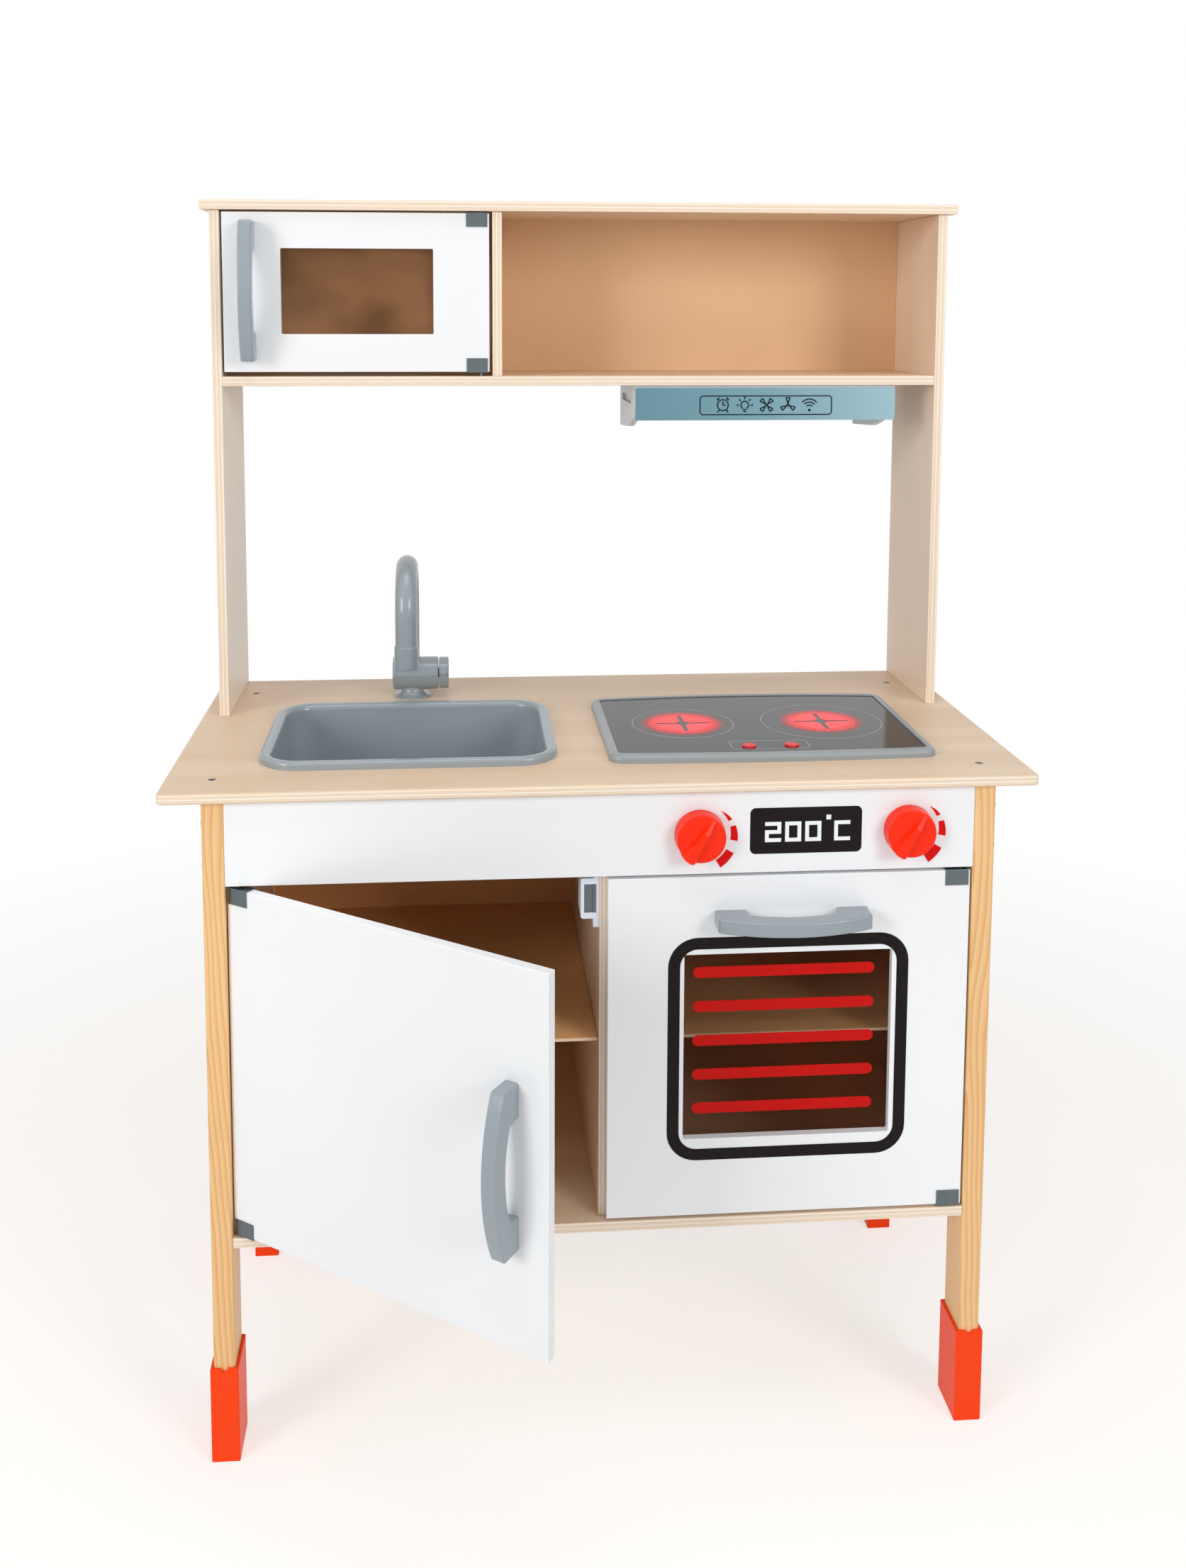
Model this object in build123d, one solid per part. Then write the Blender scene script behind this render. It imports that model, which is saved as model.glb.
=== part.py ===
from build123d import *
import os
from math import cos, radians, sin

os.makedirs("parts", exist_ok=True)

# All lengths are in millimetres. While the pieces are made, X is 0 on the middle of the worktop,
# Y is 0 at the worktop's front edge and grows to the rear, and Z is 0 on the floor.

# Worktop and boards
worktop_width = 720
worktop_depth = 360
worktop_top = 577
board = 9
hardboard = 3
board_easing = 0.8
worktop_easing = 2
worktop_corner = 5
fit_gap = 0.2

# Legs and their foot sleeves
leg_width = 18
leg_depth = 38
leg_side_inset = 34
leg_front_inset = 8
leg_rear_inset = 42
leg_easing = 2
leg_foot_height = 28
sleeve_height = 83
sleeve_wall = 2.4
sleeve_floor = 3
sleeve_gap = 0.35
sleeve_easing = 1
sleeve_notch = 3
height_step = 25
sleeve_screw_height = 62

# Cabinet
cabinet_underside = 187.5
panel_height = 71
shelf_height = 350
shelf_thickness = 3
shelf_setback = 18
peg_diameter = 6
peg_length = 30
short_peg_length = 16
peg_inset = 42
dowel_rise = 45

# Doors on vertical pins
door_thickness = 9
door_side_gap = 2
door_middle_gap = 3
door_end_gap = 2.5
pin_inset = 7.5
pin_diameter = 3
pin_reach = 6
pin_clearance = 0.1
pin_end_gap = 0.5
clip_width = 19.5
clip_height = 13.5
clip_sheet = 0.8
clip_edge_inset = 1.75
cupboard_door_angle = 35

# Window openings, from the oven door's free edge or the microwave door's free edge
oven_window_side = 64
oven_window_width = 175.5
oven_window_bottom = 68
oven_window_height = 161
microwave_window_side = 52.5
microwave_window_width = 139.7
microwave_window_bottom = 35
microwave_window_height = 78.5
window_corner = 1.5
pane_lap = 6
pane_thickness = 2
pane_gap = 0.3

# Bow handles
handle_length = 128
handle_width = 12
handle_end_reach = 19
handle_middle_reach = 32.5
handle_gap_length = 76
handle_gap_reach = 17
handle_gap_side_reach = 11
handle_gap_slant = 2
handle_easing = 3
handle_inset = 31
oven_handle_side = 153
oven_handle_drop = 34.8
microwave_handle_side = 23.5
microwave_handle_rise = 74.3
cupboard_handle_rise = 143.5
handle_screw_pitch = 100

# Screws
screw_shank = 4
screw_head = 7
screw_head_depth = 2.5
screw_length = 35
worktop_screw_side = 5
worktop_screw_back = 9
worktop_screw_sink = 0.6
panel_screw_rises = (18, 53)
hutch_screw_inset = 25
hutch_divider_inset = 35
divider_screw_inset = 60
hood_screw_setback = 80
small_screw_shank = 2.5
small_screw_head = 5
small_screw_head_depth = 1.6
small_screw_length = 13
screw_drive = 2.2
screw_clearance = 0.1

# Magnetic catches
catch_flange = 5
catch_flange_height = 43
catch_reach = 15.4
catch_body_height = 34.6
catch_depth = 24
catch_drop = 1.5
catch_body_drop = 1
catch_corner = 2
catch_inner_wall = 2.5
catch_outer_wall = 2.8
catch_screw_inset = 4
pole_height = 24
pole_thickness = 2.5
pole_depth = 12
strike_thickness = 1
strike_width = 9
strike_height = 32
strike_gap = 0.3

# Control panel and knobs
knob_diameter = 42
knob_face_diameter = 40
knob_height = 12.5
knob_float = 0.5
knob_easing = 1.5
knob_fin_reach = 21.2
knob_fin_tail = 18.4
knob_fin_level = 6
knob_fin_foot = 2.5
knob_fin_height = 5
knob_fin_tail_height = 0.3
knob_fin_tip_width = 15.4
knob_fin_tip_crest = 9
knob_fin_tail_width = 4.8
knob_fin_tail_crest = 2.2
knob_fin_corner = 1.6
knob_fin_easing = 0.6
knob_angle = 34
knob_pitch = 175
knob_end_inset = 56
knob_rise = 34
washer_gap = 0.5
spindle_diameter = 8
spindle_clearance = 0.2
spindle_washer = 14
spindle_washer_thickness = 2

# Sink
sink_x = -162.2
sink_width = 254.5
sink_depth = 192
sink_middle = 150
sink_rim_width = 10
sink_rim_height = 7
sink_corner = 36
sink_wall = 2.5
sink_bowl_depth = 80
sink_floor_radius = 14
sink_draft = 3
sink_rim_easing = 3
sink_mouth_easing = 5
sink_tuck = 3
cutout_clearance = 1

# Tap
tap_x = -165
tap_y = 290
tap_flange_diameter = 35
tap_flange_height = 2
tap_neck_diameter = 20.5
tap_flare_height = 7
tap_stem_diameter = 16
tap_stem_length = 22
tap_barrel_diameter = 32
tap_barrel_height = 23
tap_barrel_left = 19
tap_barrel_length = 44.7
spout_shift = -3
spout_diameter = 20.5
spout_bore = 14
spout_reach = 82
spout_height = 147.5
spout_drop = 27
spout_collar_diameter = 22.5
spout_collar_length = 21.5
spout_collar_easing = 0.8
spout_mouth_depth = 12
spout_socket_depth = 10
swivel_clearance = 0.2
tap_knob_diameter = 31
tap_knob_length = 9.5
tap_knob_gap = 0.7
tap_easing = 1.5
tap_peg_tilt = 18
tap_peg_diameter = 7.5
tap_peg_height = 3.5
tap_axle_diameter = 10
tap_axle_length = 14

# Hob
hob_x = 150
hob_middle = 149
hob_width = 284
hob_depth = 188
hob_front_bow = 4
hob_rear_bow = 8
hob_border = 7.5
hob_height = 7
hob_corner = 12
hob_lip = 2
hob_glass_thickness = 2.5
hob_glass_gap = 0.3
hob_case_width = 226
hob_case_depth = 164
hob_case_height = 34
hob_case_wall = 2
hob_case_corner = 4
hob_easing = 4
hob_post_inset = 8
hob_post_diameter = 6
burner_pitch = 128
burner_shift = 2
hob_button_diameter = 12.4
hob_button_pitch = 37.6
hob_button_inset = 19.5
hob_button_height = 10
hob_button_easing = 1
hob_button_proud = 1.6
hob_button_flange = 15.4
hob_button_flange_thickness = 1.2
hob_button_travel = 1.5
hob_button_clearance = 0.3
circuit_board_thickness = 1.6
circuit_board_width = 190
circuit_board_depth = 150
circuit_board_rise = 13
light_diameter = 5
light_height = 6
light_ring = 20
switch_size = 6
battery_diameter = 14.5
battery_length = 50.5
battery_count = 3
battery_pitch = 16
battery_cover_thickness = 2
battery_side_room = 6
battery_end_room = 8
battery_tip_diameter = 5.4
battery_tip_length = 1
battery_easing = 0.6

# Hutch
hutch_side_inset = 16
hutch_depth = 134
hutch_shelf_rise = 311
hutch_rise = 481
hutch_top_overhang = 8
hutch_top_front_overhang = 4
hutch_divider_x = -81.7
microwave_recess = 1.5
microwave_side_gap = 2
microwave_divider_gap = 2.8
microwave_bottom_gap = 4
microwave_top_gap = 1.5

# Cooker hood
hood_x = 172.5
hood_width = 249
hood_panel_height = 30.5
hood_panel_thickness = 2.5
hood_top_gap = 2.5
hood_cheek = 6
hood_cheek_front_height = 29
hood_cheek_bend_depth = 61
hood_cheek_bend_height = 43
hood_cheek_rear_height = 47
hood_cheek_depth = 129
hood_plate = 2.5
hood_slot_start = 36
hood_slot_length = 74
hood_slot_drop = 12
hood_slot_height = 7.5
hood_slot_deep = 3

# Places worked out from the sizes above
leg_top = worktop_top - board
leg_outer = worktop_width / 2 - leg_side_inset
leg_inner = leg_outer - leg_width
legs_front = leg_front_inset
legs_rear = worktop_depth - leg_rear_inset
back_front = legs_rear - hardboard
base_top = cabinet_underside + board
panel_bottom = leg_top - panel_height
door_front = legs_front
door_rear = door_front + door_thickness
pin_y = door_front + door_thickness / 2
right_knob_x = leg_inner - knob_end_inset
left_knob_x = right_knob_x - knob_pitch
knob_z = panel_bottom + knob_rise
door_bottom = base_top + door_end_gap
door_top = panel_bottom - door_end_gap
door_outer = leg_inner - door_side_gap
door_inner = door_middle_gap / 2
pin_x = door_outer - pin_inset
divider_front = door_rear + strike_gap
catch_front = door_rear + strike_thickness + strike_gap
upright_outer = worktop_width / 2 - hutch_side_inset
upright_inner = upright_outer - board
hutch_front = worktop_depth - hutch_depth
hutch_back_front = worktop_depth - hardboard
hutch_shelf_height = worktop_top + hutch_shelf_rise
hutch_height = worktop_top + hutch_rise
hutch_top_underside = hutch_height - board
hutch_shelf_top = hutch_shelf_height + board
microwave_front = hutch_front + microwave_recess
microwave_rear = microwave_front + door_thickness
microwave_free_edge = -upright_inner + microwave_side_gap
microwave_hinge_edge = hutch_divider_x - board / 2 - microwave_divider_gap
microwave_bottom = hutch_shelf_top + microwave_bottom_gap
microwave_top = hutch_top_underside - microwave_top_gap
microwave_pin_x = microwave_hinge_edge - pin_inset
microwave_pin_y = microwave_front + door_thickness / 2
microwave_catch_front = microwave_rear + strike_thickness + strike_gap
barrel_z = worktop_top + tap_barrel_height
spout_x = tap_x + spout_shift
hob_glass_top = worktop_top + hob_height - 1
hob_case_top = hob_glass_top - hob_glass_thickness
button_y = hob_middle - hob_depth / 2 - hob_front_bow + hob_border + hob_button_inset
burner_xs = (hob_x - burner_pitch / 2, hob_x + burner_pitch / 2)
burner_y = hob_middle + burner_shift
button_xs = (hob_x - hob_button_pitch / 2, hob_x + hob_button_pitch / 2)


def block(x, y, z, easing=0):
    """A box between two corners, given as ranges, with its edges rounded."""
    size = Box(x[1] - x[0], y[1] - y[0], z[1] - z[0])
    if easing:
        size = fillet(size.edges(), easing)
    return Pos((x[0] + x[1]) / 2, (y[0] + y[1]) / 2, (z[0] + z[1]) / 2) * size


def rod(radius, start, end):
    """A round bar between two points."""
    line = Vector(*end) - Vector(*start)
    base = Plane(origin=start, z_dir=line)
    return base * Cylinder(radius, line.length, align=(Align.CENTER, Align.CENTER, Align.MIN))


def group(pieces):
    """Separate solids that share one node."""
    return Compound([solid for piece in pieces for solid in piece.solids()])


def side_name(side):
    return "left" if side < 0 else "right"


def screw_form(head, head_depth, shank, length, grow):
    """A countersunk screw that points down, its head's top at the origin."""
    cone = Pos(0, 0, -head_depth / 2) * Cone(shank / 2 + grow, head / 2 + grow, head_depth)
    body = Pos(0, 0, -length / 2 - grow / 2) * Cylinder(shank / 2 + grow, length + grow)
    return cone + body


def screw_solid(kind):
    head, head_depth, shank, length = kind
    drive = Pos(0, 0, -head_depth * 0.35) * extrude(RegularPolygon(screw_drive / 2, 6), head_depth)
    return screw_form(head, head_depth, shank, length, 0) - drive


def screw_pocket(kind):
    head, head_depth, shank, length = kind
    lid = Pos(0, 0, board / 2) * Cylinder(head / 2 + screw_clearance, board)
    return screw_form(head, head_depth, shank, length, screw_clearance) + lid


wood_screw = (screw_head, screw_head_depth, screw_shank, screw_length)
small_screw = (small_screw_head, small_screw_head_depth, small_screw_shank, small_screw_length)


def placed(shape, point, direction):
    """Turns a piece made pointing down so that it points along a direction from a point."""
    away = Vector(*direction) * -1
    return Plane(origin=point, z_dir=away) * shape


# Screws of the frame: the kind, where the head's top is, and which way the screw points
leg_middles = (legs_front + leg_depth / 2, legs_rear - leg_depth / 2)
worktop_screw_x = leg_outer - worktop_screw_side
upright_x = upright_outer - board / 2
hutch_screw_ys = (hutch_front + hutch_screw_inset, worktop_depth - hutch_screw_inset)
hutch_divider_ys = (hutch_front + hutch_divider_inset, worktop_depth - hutch_divider_inset)
divider_screw_ys = (divider_screw_inset, worktop_depth - divider_screw_inset)
hood_screw_y = hutch_front + hood_screw_setback
hood_screw_xs = (hood_x - hood_width / 4, hood_x + hood_width / 4)
frame_screws = []
for side in (-1, 1):
    for leg_back in (legs_front + leg_depth, legs_rear):
        spot = (side * worktop_screw_x, leg_back - worktop_screw_back, worktop_top - worktop_screw_sink)
        frame_screws.append((wood_screw, spot, (0, 0, -1)))
    for leg_y in leg_middles:
        frame_screws.append((wood_screw, (side * leg_outer, leg_y, base_top - board / 2), (-side, 0, 0)))
    for rise in panel_screw_rises:
        frame_screws.append((wood_screw, (side * leg_outer, pin_y, panel_bottom + rise), (-side, 0, 0)))
    for screw_y in hutch_screw_ys:
        frame_screws.append((wood_screw, (side * upright_x, screw_y, leg_top), (0, 0, 1)))
        frame_screws.append((wood_screw, (side * upright_x, screw_y, hutch_height), (0, 0, -1)))
        shelf_spot = (side * upright_outer, screw_y, hutch_shelf_height + board / 2)
        frame_screws.append((wood_screw, shelf_spot, (-side, 0, 0)))
    sleeve_x = side * (leg_outer - leg_width / 2)
    sleeve_shell = sleeve_gap + sleeve_wall
    front_hole = (sleeve_x, legs_front + leg_depth + sleeve_shell, sleeve_screw_height)
    rear_hole = (sleeve_x, legs_rear - leg_depth - sleeve_shell, sleeve_screw_height)
    frame_screws.append((wood_screw, front_hole, (0, -1, 0)))
    frame_screws.append((wood_screw, rear_hole, (0, 1, 0)))
for screw_y in divider_screw_ys:
    frame_screws.append((wood_screw, (0, screw_y, cabinet_underside), (0, 0, 1)))
for screw_y in hutch_divider_ys:
    frame_screws.append((wood_screw, (hutch_divider_x, screw_y, hutch_shelf_height), (0, 0, 1)))
    frame_screws.append((wood_screw, (hutch_divider_x, screw_y, hutch_height), (0, 0, -1)))

# Small screws of the catches and the hood
catch_length = min(small_screw_length, catch_flange + board - 2)
catch_screw = (small_screw_head, small_screw_head_depth, small_screw_shank, catch_length)
catches = {
    "cupboard": (-board / 2, -1, catch_front, door_top - catch_drop),
    "oven": (board / 2, 1, catch_front, door_top - catch_drop),
    "microwave": (-upright_inner, 1, microwave_catch_front, microwave_top - catch_drop),
}
catch_screws = []
for wall_x, side, front, top in catches.values():
    for offset in (catch_screw_inset, catch_flange_height - catch_screw_inset):
        spot = (wall_x + side * catch_flange, front + catch_depth - catch_screw_inset, top - offset)
        catch_screws.append((catch_screw, spot, (-side, 0, 0)))
hood_screw = (small_screw_head, small_screw_head_depth, small_screw_shank, hood_plate + board - 2)
hood_screws = []
for screw_x in hood_screw_xs:
    spot = (screw_x, hood_screw_y, hutch_shelf_height - hood_plate)
    hood_screws.append((hood_screw, spot, (0, 0, 1)))

# Wooden pegs: the end point, the direction and the length
pegs = []
peg_z = shelf_height - shelf_thickness - peg_diameter / 2
peg_ys = (legs_front + shelf_setback + peg_inset, back_front - peg_inset)
for peg_y in peg_ys:
    pegs.append(((-peg_length / 2, peg_y, peg_z), (1, 0, 0), peg_length))
    for side in (-1, 1):
        start = (side * (leg_inner + short_peg_length * 0.4), peg_y, peg_z)
        pegs.append((start, (-side, 0, 0), short_peg_length))
for side in (-1, 1):
    for joint_y in (legs_front + leg_depth, legs_rear - leg_depth):
        for dowel_z in (base_top + dowel_rise, leg_top - dowel_rise):
            start = (side * (leg_inner + board / 2), joint_y - peg_length / 2, dowel_z)
            pegs.append((start, (0, 1, 0), peg_length))


def peg_rod(peg, grow):
    start, direction, length = peg
    end = Vector(*start) + Vector(*direction) * length
    return rod(peg_diameter / 2 + grow, start, (end.X, end.Y, end.Z))


def overlaps(one, other):
    a = one.bounding_box()
    b = other.bounding_box()
    apart_x = a.max.X < b.min.X or b.max.X < a.min.X
    apart_y = a.max.Y < b.min.Y or b.max.Y < a.min.Y
    apart_z = a.max.Z < b.min.Z or b.max.Z < a.min.Z
    return not (apart_x or apart_y or apart_z)


pockets = []
for kind, point, direction in frame_screws + catch_screws + hood_screws:
    pockets.append(placed(screw_pocket(kind), point, direction))
for peg in pegs:
    pockets.append(peg_rod(peg, screw_clearance))


def bored(piece):
    """Cuts the holes of every screw and peg that runs through a piece of the frame."""
    for pocket in pockets:
        if overlaps(piece, pocket):
            piece -= pocket
    return piece


def leg(side, rear):
    near = legs_rear - leg_depth if rear else legs_front
    inner = side * leg_inner
    outer = side * leg_outer
    post = block(sorted((inner, outer)), (near, near + leg_depth), (leg_foot_height, leg_top), leg_easing)
    post = bored(post)
    for step in (-1, 1):
        height = sleeve_screw_height + step * height_step
        hole_y = near if rear else near + leg_depth
        inward = 1 if rear else -1
        start = (side * (leg_inner + leg_width / 2), hole_y, height)
        end = (start[0], hole_y + inward * leg_depth * 0.8, height)
        post -= rod(screw_shank / 2, start, end)
    return post


def foot_sleeve(side, rear):
    """A moulded shoe round the leg's foot, open at its top."""
    near = legs_rear - leg_depth if rear else legs_front
    shell = sleeve_gap + sleeve_wall
    xs = sorted((side * (leg_inner - shell), side * (leg_outer + shell)))
    ys = (near - shell, near + leg_depth + shell)
    body = block(xs, ys, (0, sleeve_height), sleeve_easing)
    inner_xs = (xs[0] + sleeve_wall, xs[1] - sleeve_wall)
    inner_ys = (ys[0] + sleeve_wall, ys[1] - sleeve_wall)
    body -= block(inner_xs, inner_ys, (sleeve_floor, sleeve_height * 1.5))
    outside = ys[1] if rear else ys[0]
    middle = (xs[0] + xs[1]) / 2
    reach = sleeve_wall * 2
    notch_start = (middle, outside - reach, sleeve_height)
    body -= rod(sleeve_notch, notch_start, (middle, outside + reach, sleeve_height))
    return bored(body)


def side_panel(side):
    xs = sorted((side * leg_inner, side * (leg_inner + board)))
    ys = (legs_front + leg_depth, legs_rear - leg_depth)
    return bored(block(xs, ys, (cabinet_underside, leg_top)))


def cabinet_base():
    ys = (legs_front, back_front)
    base = block((-leg_inner, leg_inner), ys, (cabinet_underside, base_top), board_easing)
    for side in (-1, 1):
        base -= pin_bore(side * pin_x, pin_y, base_top, -1)
    return bored(base)


def pin_bore(x, y, z, way):
    """The hole that a hinge pin turns in."""
    depth = pin_reach + pin_end_gap
    return rod(pin_diameter / 2 + pin_clearance, (x, y, z - way), (x, y, z + way * depth))


def cabinet_divider():
    wall = block((-board / 2, board / 2), (divider_front, back_front), (base_top, leg_top), board_easing)
    return bored(wall)


def cabinet_back():
    xs = (-leg_inner + fit_gap, leg_inner - fit_gap)
    return block(xs, (back_front, legs_rear), (cabinet_underside, leg_top))


def inner_shelf(side):
    xs = sorted((side * (board / 2 + fit_gap), side * (leg_inner - fit_gap)))
    ys = (legs_front + shelf_setback, back_front)
    return block(xs, ys, (shelf_height - shelf_thickness, shelf_height), board_easing)


def control_panel():
    panel = block((-leg_inner, leg_inner), (door_front, door_rear), (panel_bottom, leg_top), board_easing)
    for side in (-1, 1):
        panel -= pin_bore(side * pin_x, pin_y, panel_bottom, 1)
    for knob_x in (left_knob_x, right_knob_x):
        hole = spindle_diameter / 2 + spindle_clearance
        panel -= rod(hole, (knob_x, door_front - board, knob_z), (knob_x, door_rear + board, knob_z))
    return bored(panel)


def knob(knob_x):
    """A turning knob with a pointer fin, its spindle through the panel and a washer behind it."""
    foot = knob_float
    base = Pos(0, 0, foot + knob_height / 2) * Cone(knob_diameter / 2, knob_face_diameter / 2, knob_height)
    base = fillet(base.edges().group_by(Axis.Z)[-1], knob_easing)
    low = foot + knob_fin_foot
    face = foot + knob_height
    length = knob_fin_tail + knob_fin_reach
    sections = []
    places = (-knob_fin_tail, -knob_fin_level, knob_fin_reach + 1)
    for place, rise in zip(places, (knob_fin_tail_height, knob_fin_height, knob_fin_height)):
        share = (place + knob_fin_tail) / length
        wide = (knob_fin_tail_width + share * (knob_fin_tip_width - knob_fin_tail_width)) / 2
        crest = (knob_fin_tail_crest + share * (knob_fin_tip_crest - knob_fin_tail_crest)) / 2
        left = [(place, wide, low), (place, wide, face), (place, crest, face + rise)]
        right = [(place, -crest, face + rise), (place, -wide, face), (place, -wide, low)]
        sections.append(make_face(Polyline(*left, *right, close=True)))
    fin = loft(sections, ruled=True)
    fin = fin & Pos(0, 0, face) * Rot(0, 0, 180) * Cylinder(knob_fin_reach, 2 * knob_height)
    tip = [edge for edge in fin.edges() if edge.center().X > knob_fin_tail]
    fin = fillet([edge for edge in tip if abs(edge.center().Y) > knob_fin_easing], knob_fin_corner)
    fin = fillet(fin.edges().group_by(Axis.Z)[-1], knob_fin_easing)
    turned = base + Rot(0, 0, -90 - knob_angle) * fin
    behind = -board - washer_gap - spindle_washer_thickness
    turned += Pos(0, 0, (behind + low) / 2) * Cylinder(spindle_diameter / 2, low - behind)
    washer = Cylinder(spindle_washer / 2, spindle_washer_thickness)
    turned += Pos(0, 0, behind + spindle_washer_thickness / 2) * washer
    return Plane(origin=(knob_x, door_front, knob_z), x_dir=(1, 0, 0), z_dir=(0, -1, 0)) * turned


def handle():
    """The bow handle on a door face that lies on Z = 0, along X, standing out along Z."""
    half = handle_length / 2
    gap = handle_gap_length / 2
    left_end = (-half, handle_end_reach)
    right_end = (half, handle_end_reach)
    gap_left = (-gap + handle_gap_slant, handle_gap_side_reach)
    gap_right = (gap - handle_gap_slant, handle_gap_side_reach)
    outline = ThreePointArc(left_end, (0, handle_middle_reach), right_end)
    outline += Polyline(right_end, (half, 0), (gap, 0), gap_right)
    outline += ThreePointArc(gap_right, (0, handle_gap_reach), gap_left)
    outline += Polyline(gap_left, (-gap, 0), (-half, 0), left_end)
    bow = extrude(Plane.XZ * make_face(outline), handle_width / 2, both=True)
    across = bow.edges().filter_by(Axis.Y)
    corners = across.group_by(Axis.X)
    off_door = handle_gap_side_reach / 2
    tops = [edge for edge in corners[0] + corners[-1] if edge.center().Z > off_door]
    bow = fillet(tops, handle_easing)
    flanks = bow.edges().group_by(Axis.Y)[0] + bow.edges().group_by(Axis.Y)[-1]
    bow = fillet([edge for edge in flanks if edge.center().Z > off_door / 2], handle_easing / 2)
    for side in (-1, 1):
        depth = small_screw_length - door_thickness + 1
        bow -= rod(small_screw_shank / 2 + screw_clearance, (side * handle_screw_pitch / 2, 0, -1),
                   (side * handle_screw_pitch / 2, 0, depth))
    return bow


def handle_places(middle, front, upright):
    """The plane of a handle on a door face, and the spots of its two screws behind the door."""
    x, z = middle
    along = (0, 0, 1) if upright else (1, 0, 0)
    plane = Plane(origin=(x, front, z), x_dir=along, z_dir=(0, -1, 0))
    spots = []
    for side in (-1, 1):
        shift = side * handle_screw_pitch / 2
        place = (x, front + door_thickness, z + shift) if upright else (x + shift, front + door_thickness, z)
        spots.append(place)
    return plane, spots


def clip(x, y, z, way, hinge_side, gap):
    """A folded steel clip over a door's end, with its pin; way is 1 at the top end and -1 at the bottom."""
    outer = x + hinge_side * (pin_inset - clip_edge_inset)
    xs = sorted((outer, outer - hinge_side * clip_width))
    half = door_thickness / 2
    tall = sorted((z + way * clip_sheet, z - way * (clip_height - clip_sheet)))
    wrap = block(xs, (y - half - clip_sheet, y + half + clip_sheet), tall)
    wrap = fillet(wrap.edges().filter_by(Axis.X).group_by(Axis.Z)[-1 if way > 0 else 0], clip_sheet * 0.6)
    wrap -= block((xs[0] - 1, xs[1] + 1), (y - half, y + half), sorted((z, z - way * clip_height * 2)))
    return wrap + rod(pin_diameter / 2, (x, y, z), (x, y, z + way * (gap + pin_reach)))


def door_panel(xs, front, zs, pane_box, spots):
    panel = block(xs, (front, front + door_thickness), zs, board_easing)
    if pane_box:
        px, pz = pane_box
        rear = front + door_thickness
        hole = block(px, (front - 1, rear + 1), pz)
        panel -= fillet(hole.edges().filter_by(Axis.Y), window_corner)
        lap = pane_lap + pane_gap
        seat = (rear - pane_thickness - 0.3, rear + 1)
        panel -= block((px[0] - lap, px[1] + lap), seat, (pz[0] - lap, pz[1] + lap))
    for spot in spots:
        panel -= placed(screw_pocket(small_screw), spot, (0, -1, 0))
    return panel


def pane(pane_box, rear):
    px, pz = pane_box
    ys = (rear - pane_thickness - 0.3, rear - 0.3)
    return block((px[0] - pane_lap, px[1] + pane_lap), ys, (pz[0] - pane_lap, pz[1] + pane_lap))


def strike_plate(catch, rear):
    """The small steel plate on a door's rear face, in front of the catch's poles."""
    wall_x, side, _, top = catch
    middle_x = wall_x + side * (catch_inner_wall + catch_reach - catch_outer_wall) / 2
    middle_z = top - catch_body_drop - catch_body_height / 2
    xs = (middle_x - strike_width / 2, middle_x + strike_width / 2)
    zs = (middle_z - strike_height / 2, middle_z + strike_height / 2)
    plate = block(xs, (rear, rear + strike_thickness), zs)
    return fillet(plate.edges().filter_by(Axis.Y), catch_corner)


def catch_housing(wall_x, side, front, top):
    """The catch's moulded case: a flange on the wall and a body with two slots for the pole plates."""
    ys = (front, front + catch_depth)
    flange_xs = sorted((wall_x, wall_x + side * catch_flange))
    body_xs = sorted((wall_x, wall_x + side * catch_reach))
    flange = block(flange_xs, ys, (top - catch_flange_height, top))
    body_top = top - catch_body_drop
    body = block(body_xs, ys, (body_top - catch_body_height, body_top))
    outer = body.edges().filter_by(Axis.Y).group_by(Axis.X)[0 if side < 0 else -1]
    case = flange + fillet(outer, catch_corner)
    cavity_x = sorted((wall_x + side * catch_inner_wall, wall_x + side * (catch_reach - catch_outer_wall)))
    middle_z = body_top - catch_body_height / 2
    zs = (middle_z - pole_height / 2 - fit_gap, middle_z + pole_height / 2 + fit_gap)
    case -= block(cavity_x, (front - 1, front + pole_depth + fit_gap), zs)
    return bored(case)


def catch_inside(wall_x, side, front, top):
    """The magnet block between its two pole plates, and where they stand."""
    middle_z = top - catch_body_drop - catch_body_height / 2
    zs = (middle_z - pole_height / 2, middle_z + pole_height / 2)
    near = wall_x + side * (catch_inner_wall + fit_gap)
    far = wall_x + side * (catch_reach - catch_outer_wall - fit_gap)
    pole_a = sorted((near, near + side * pole_thickness))
    pole_b = sorted((far - side * pole_thickness, far))
    ys = (front, front + pole_depth)
    magnet = sorted((near + side * pole_thickness, far - side * pole_thickness))
    pieces = [block(pole_a, ys, zs), block(pole_b, ys, zs)]
    pieces.append(block(magnet, (front + 1.5, front + pole_depth), zs))
    return pieces


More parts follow.
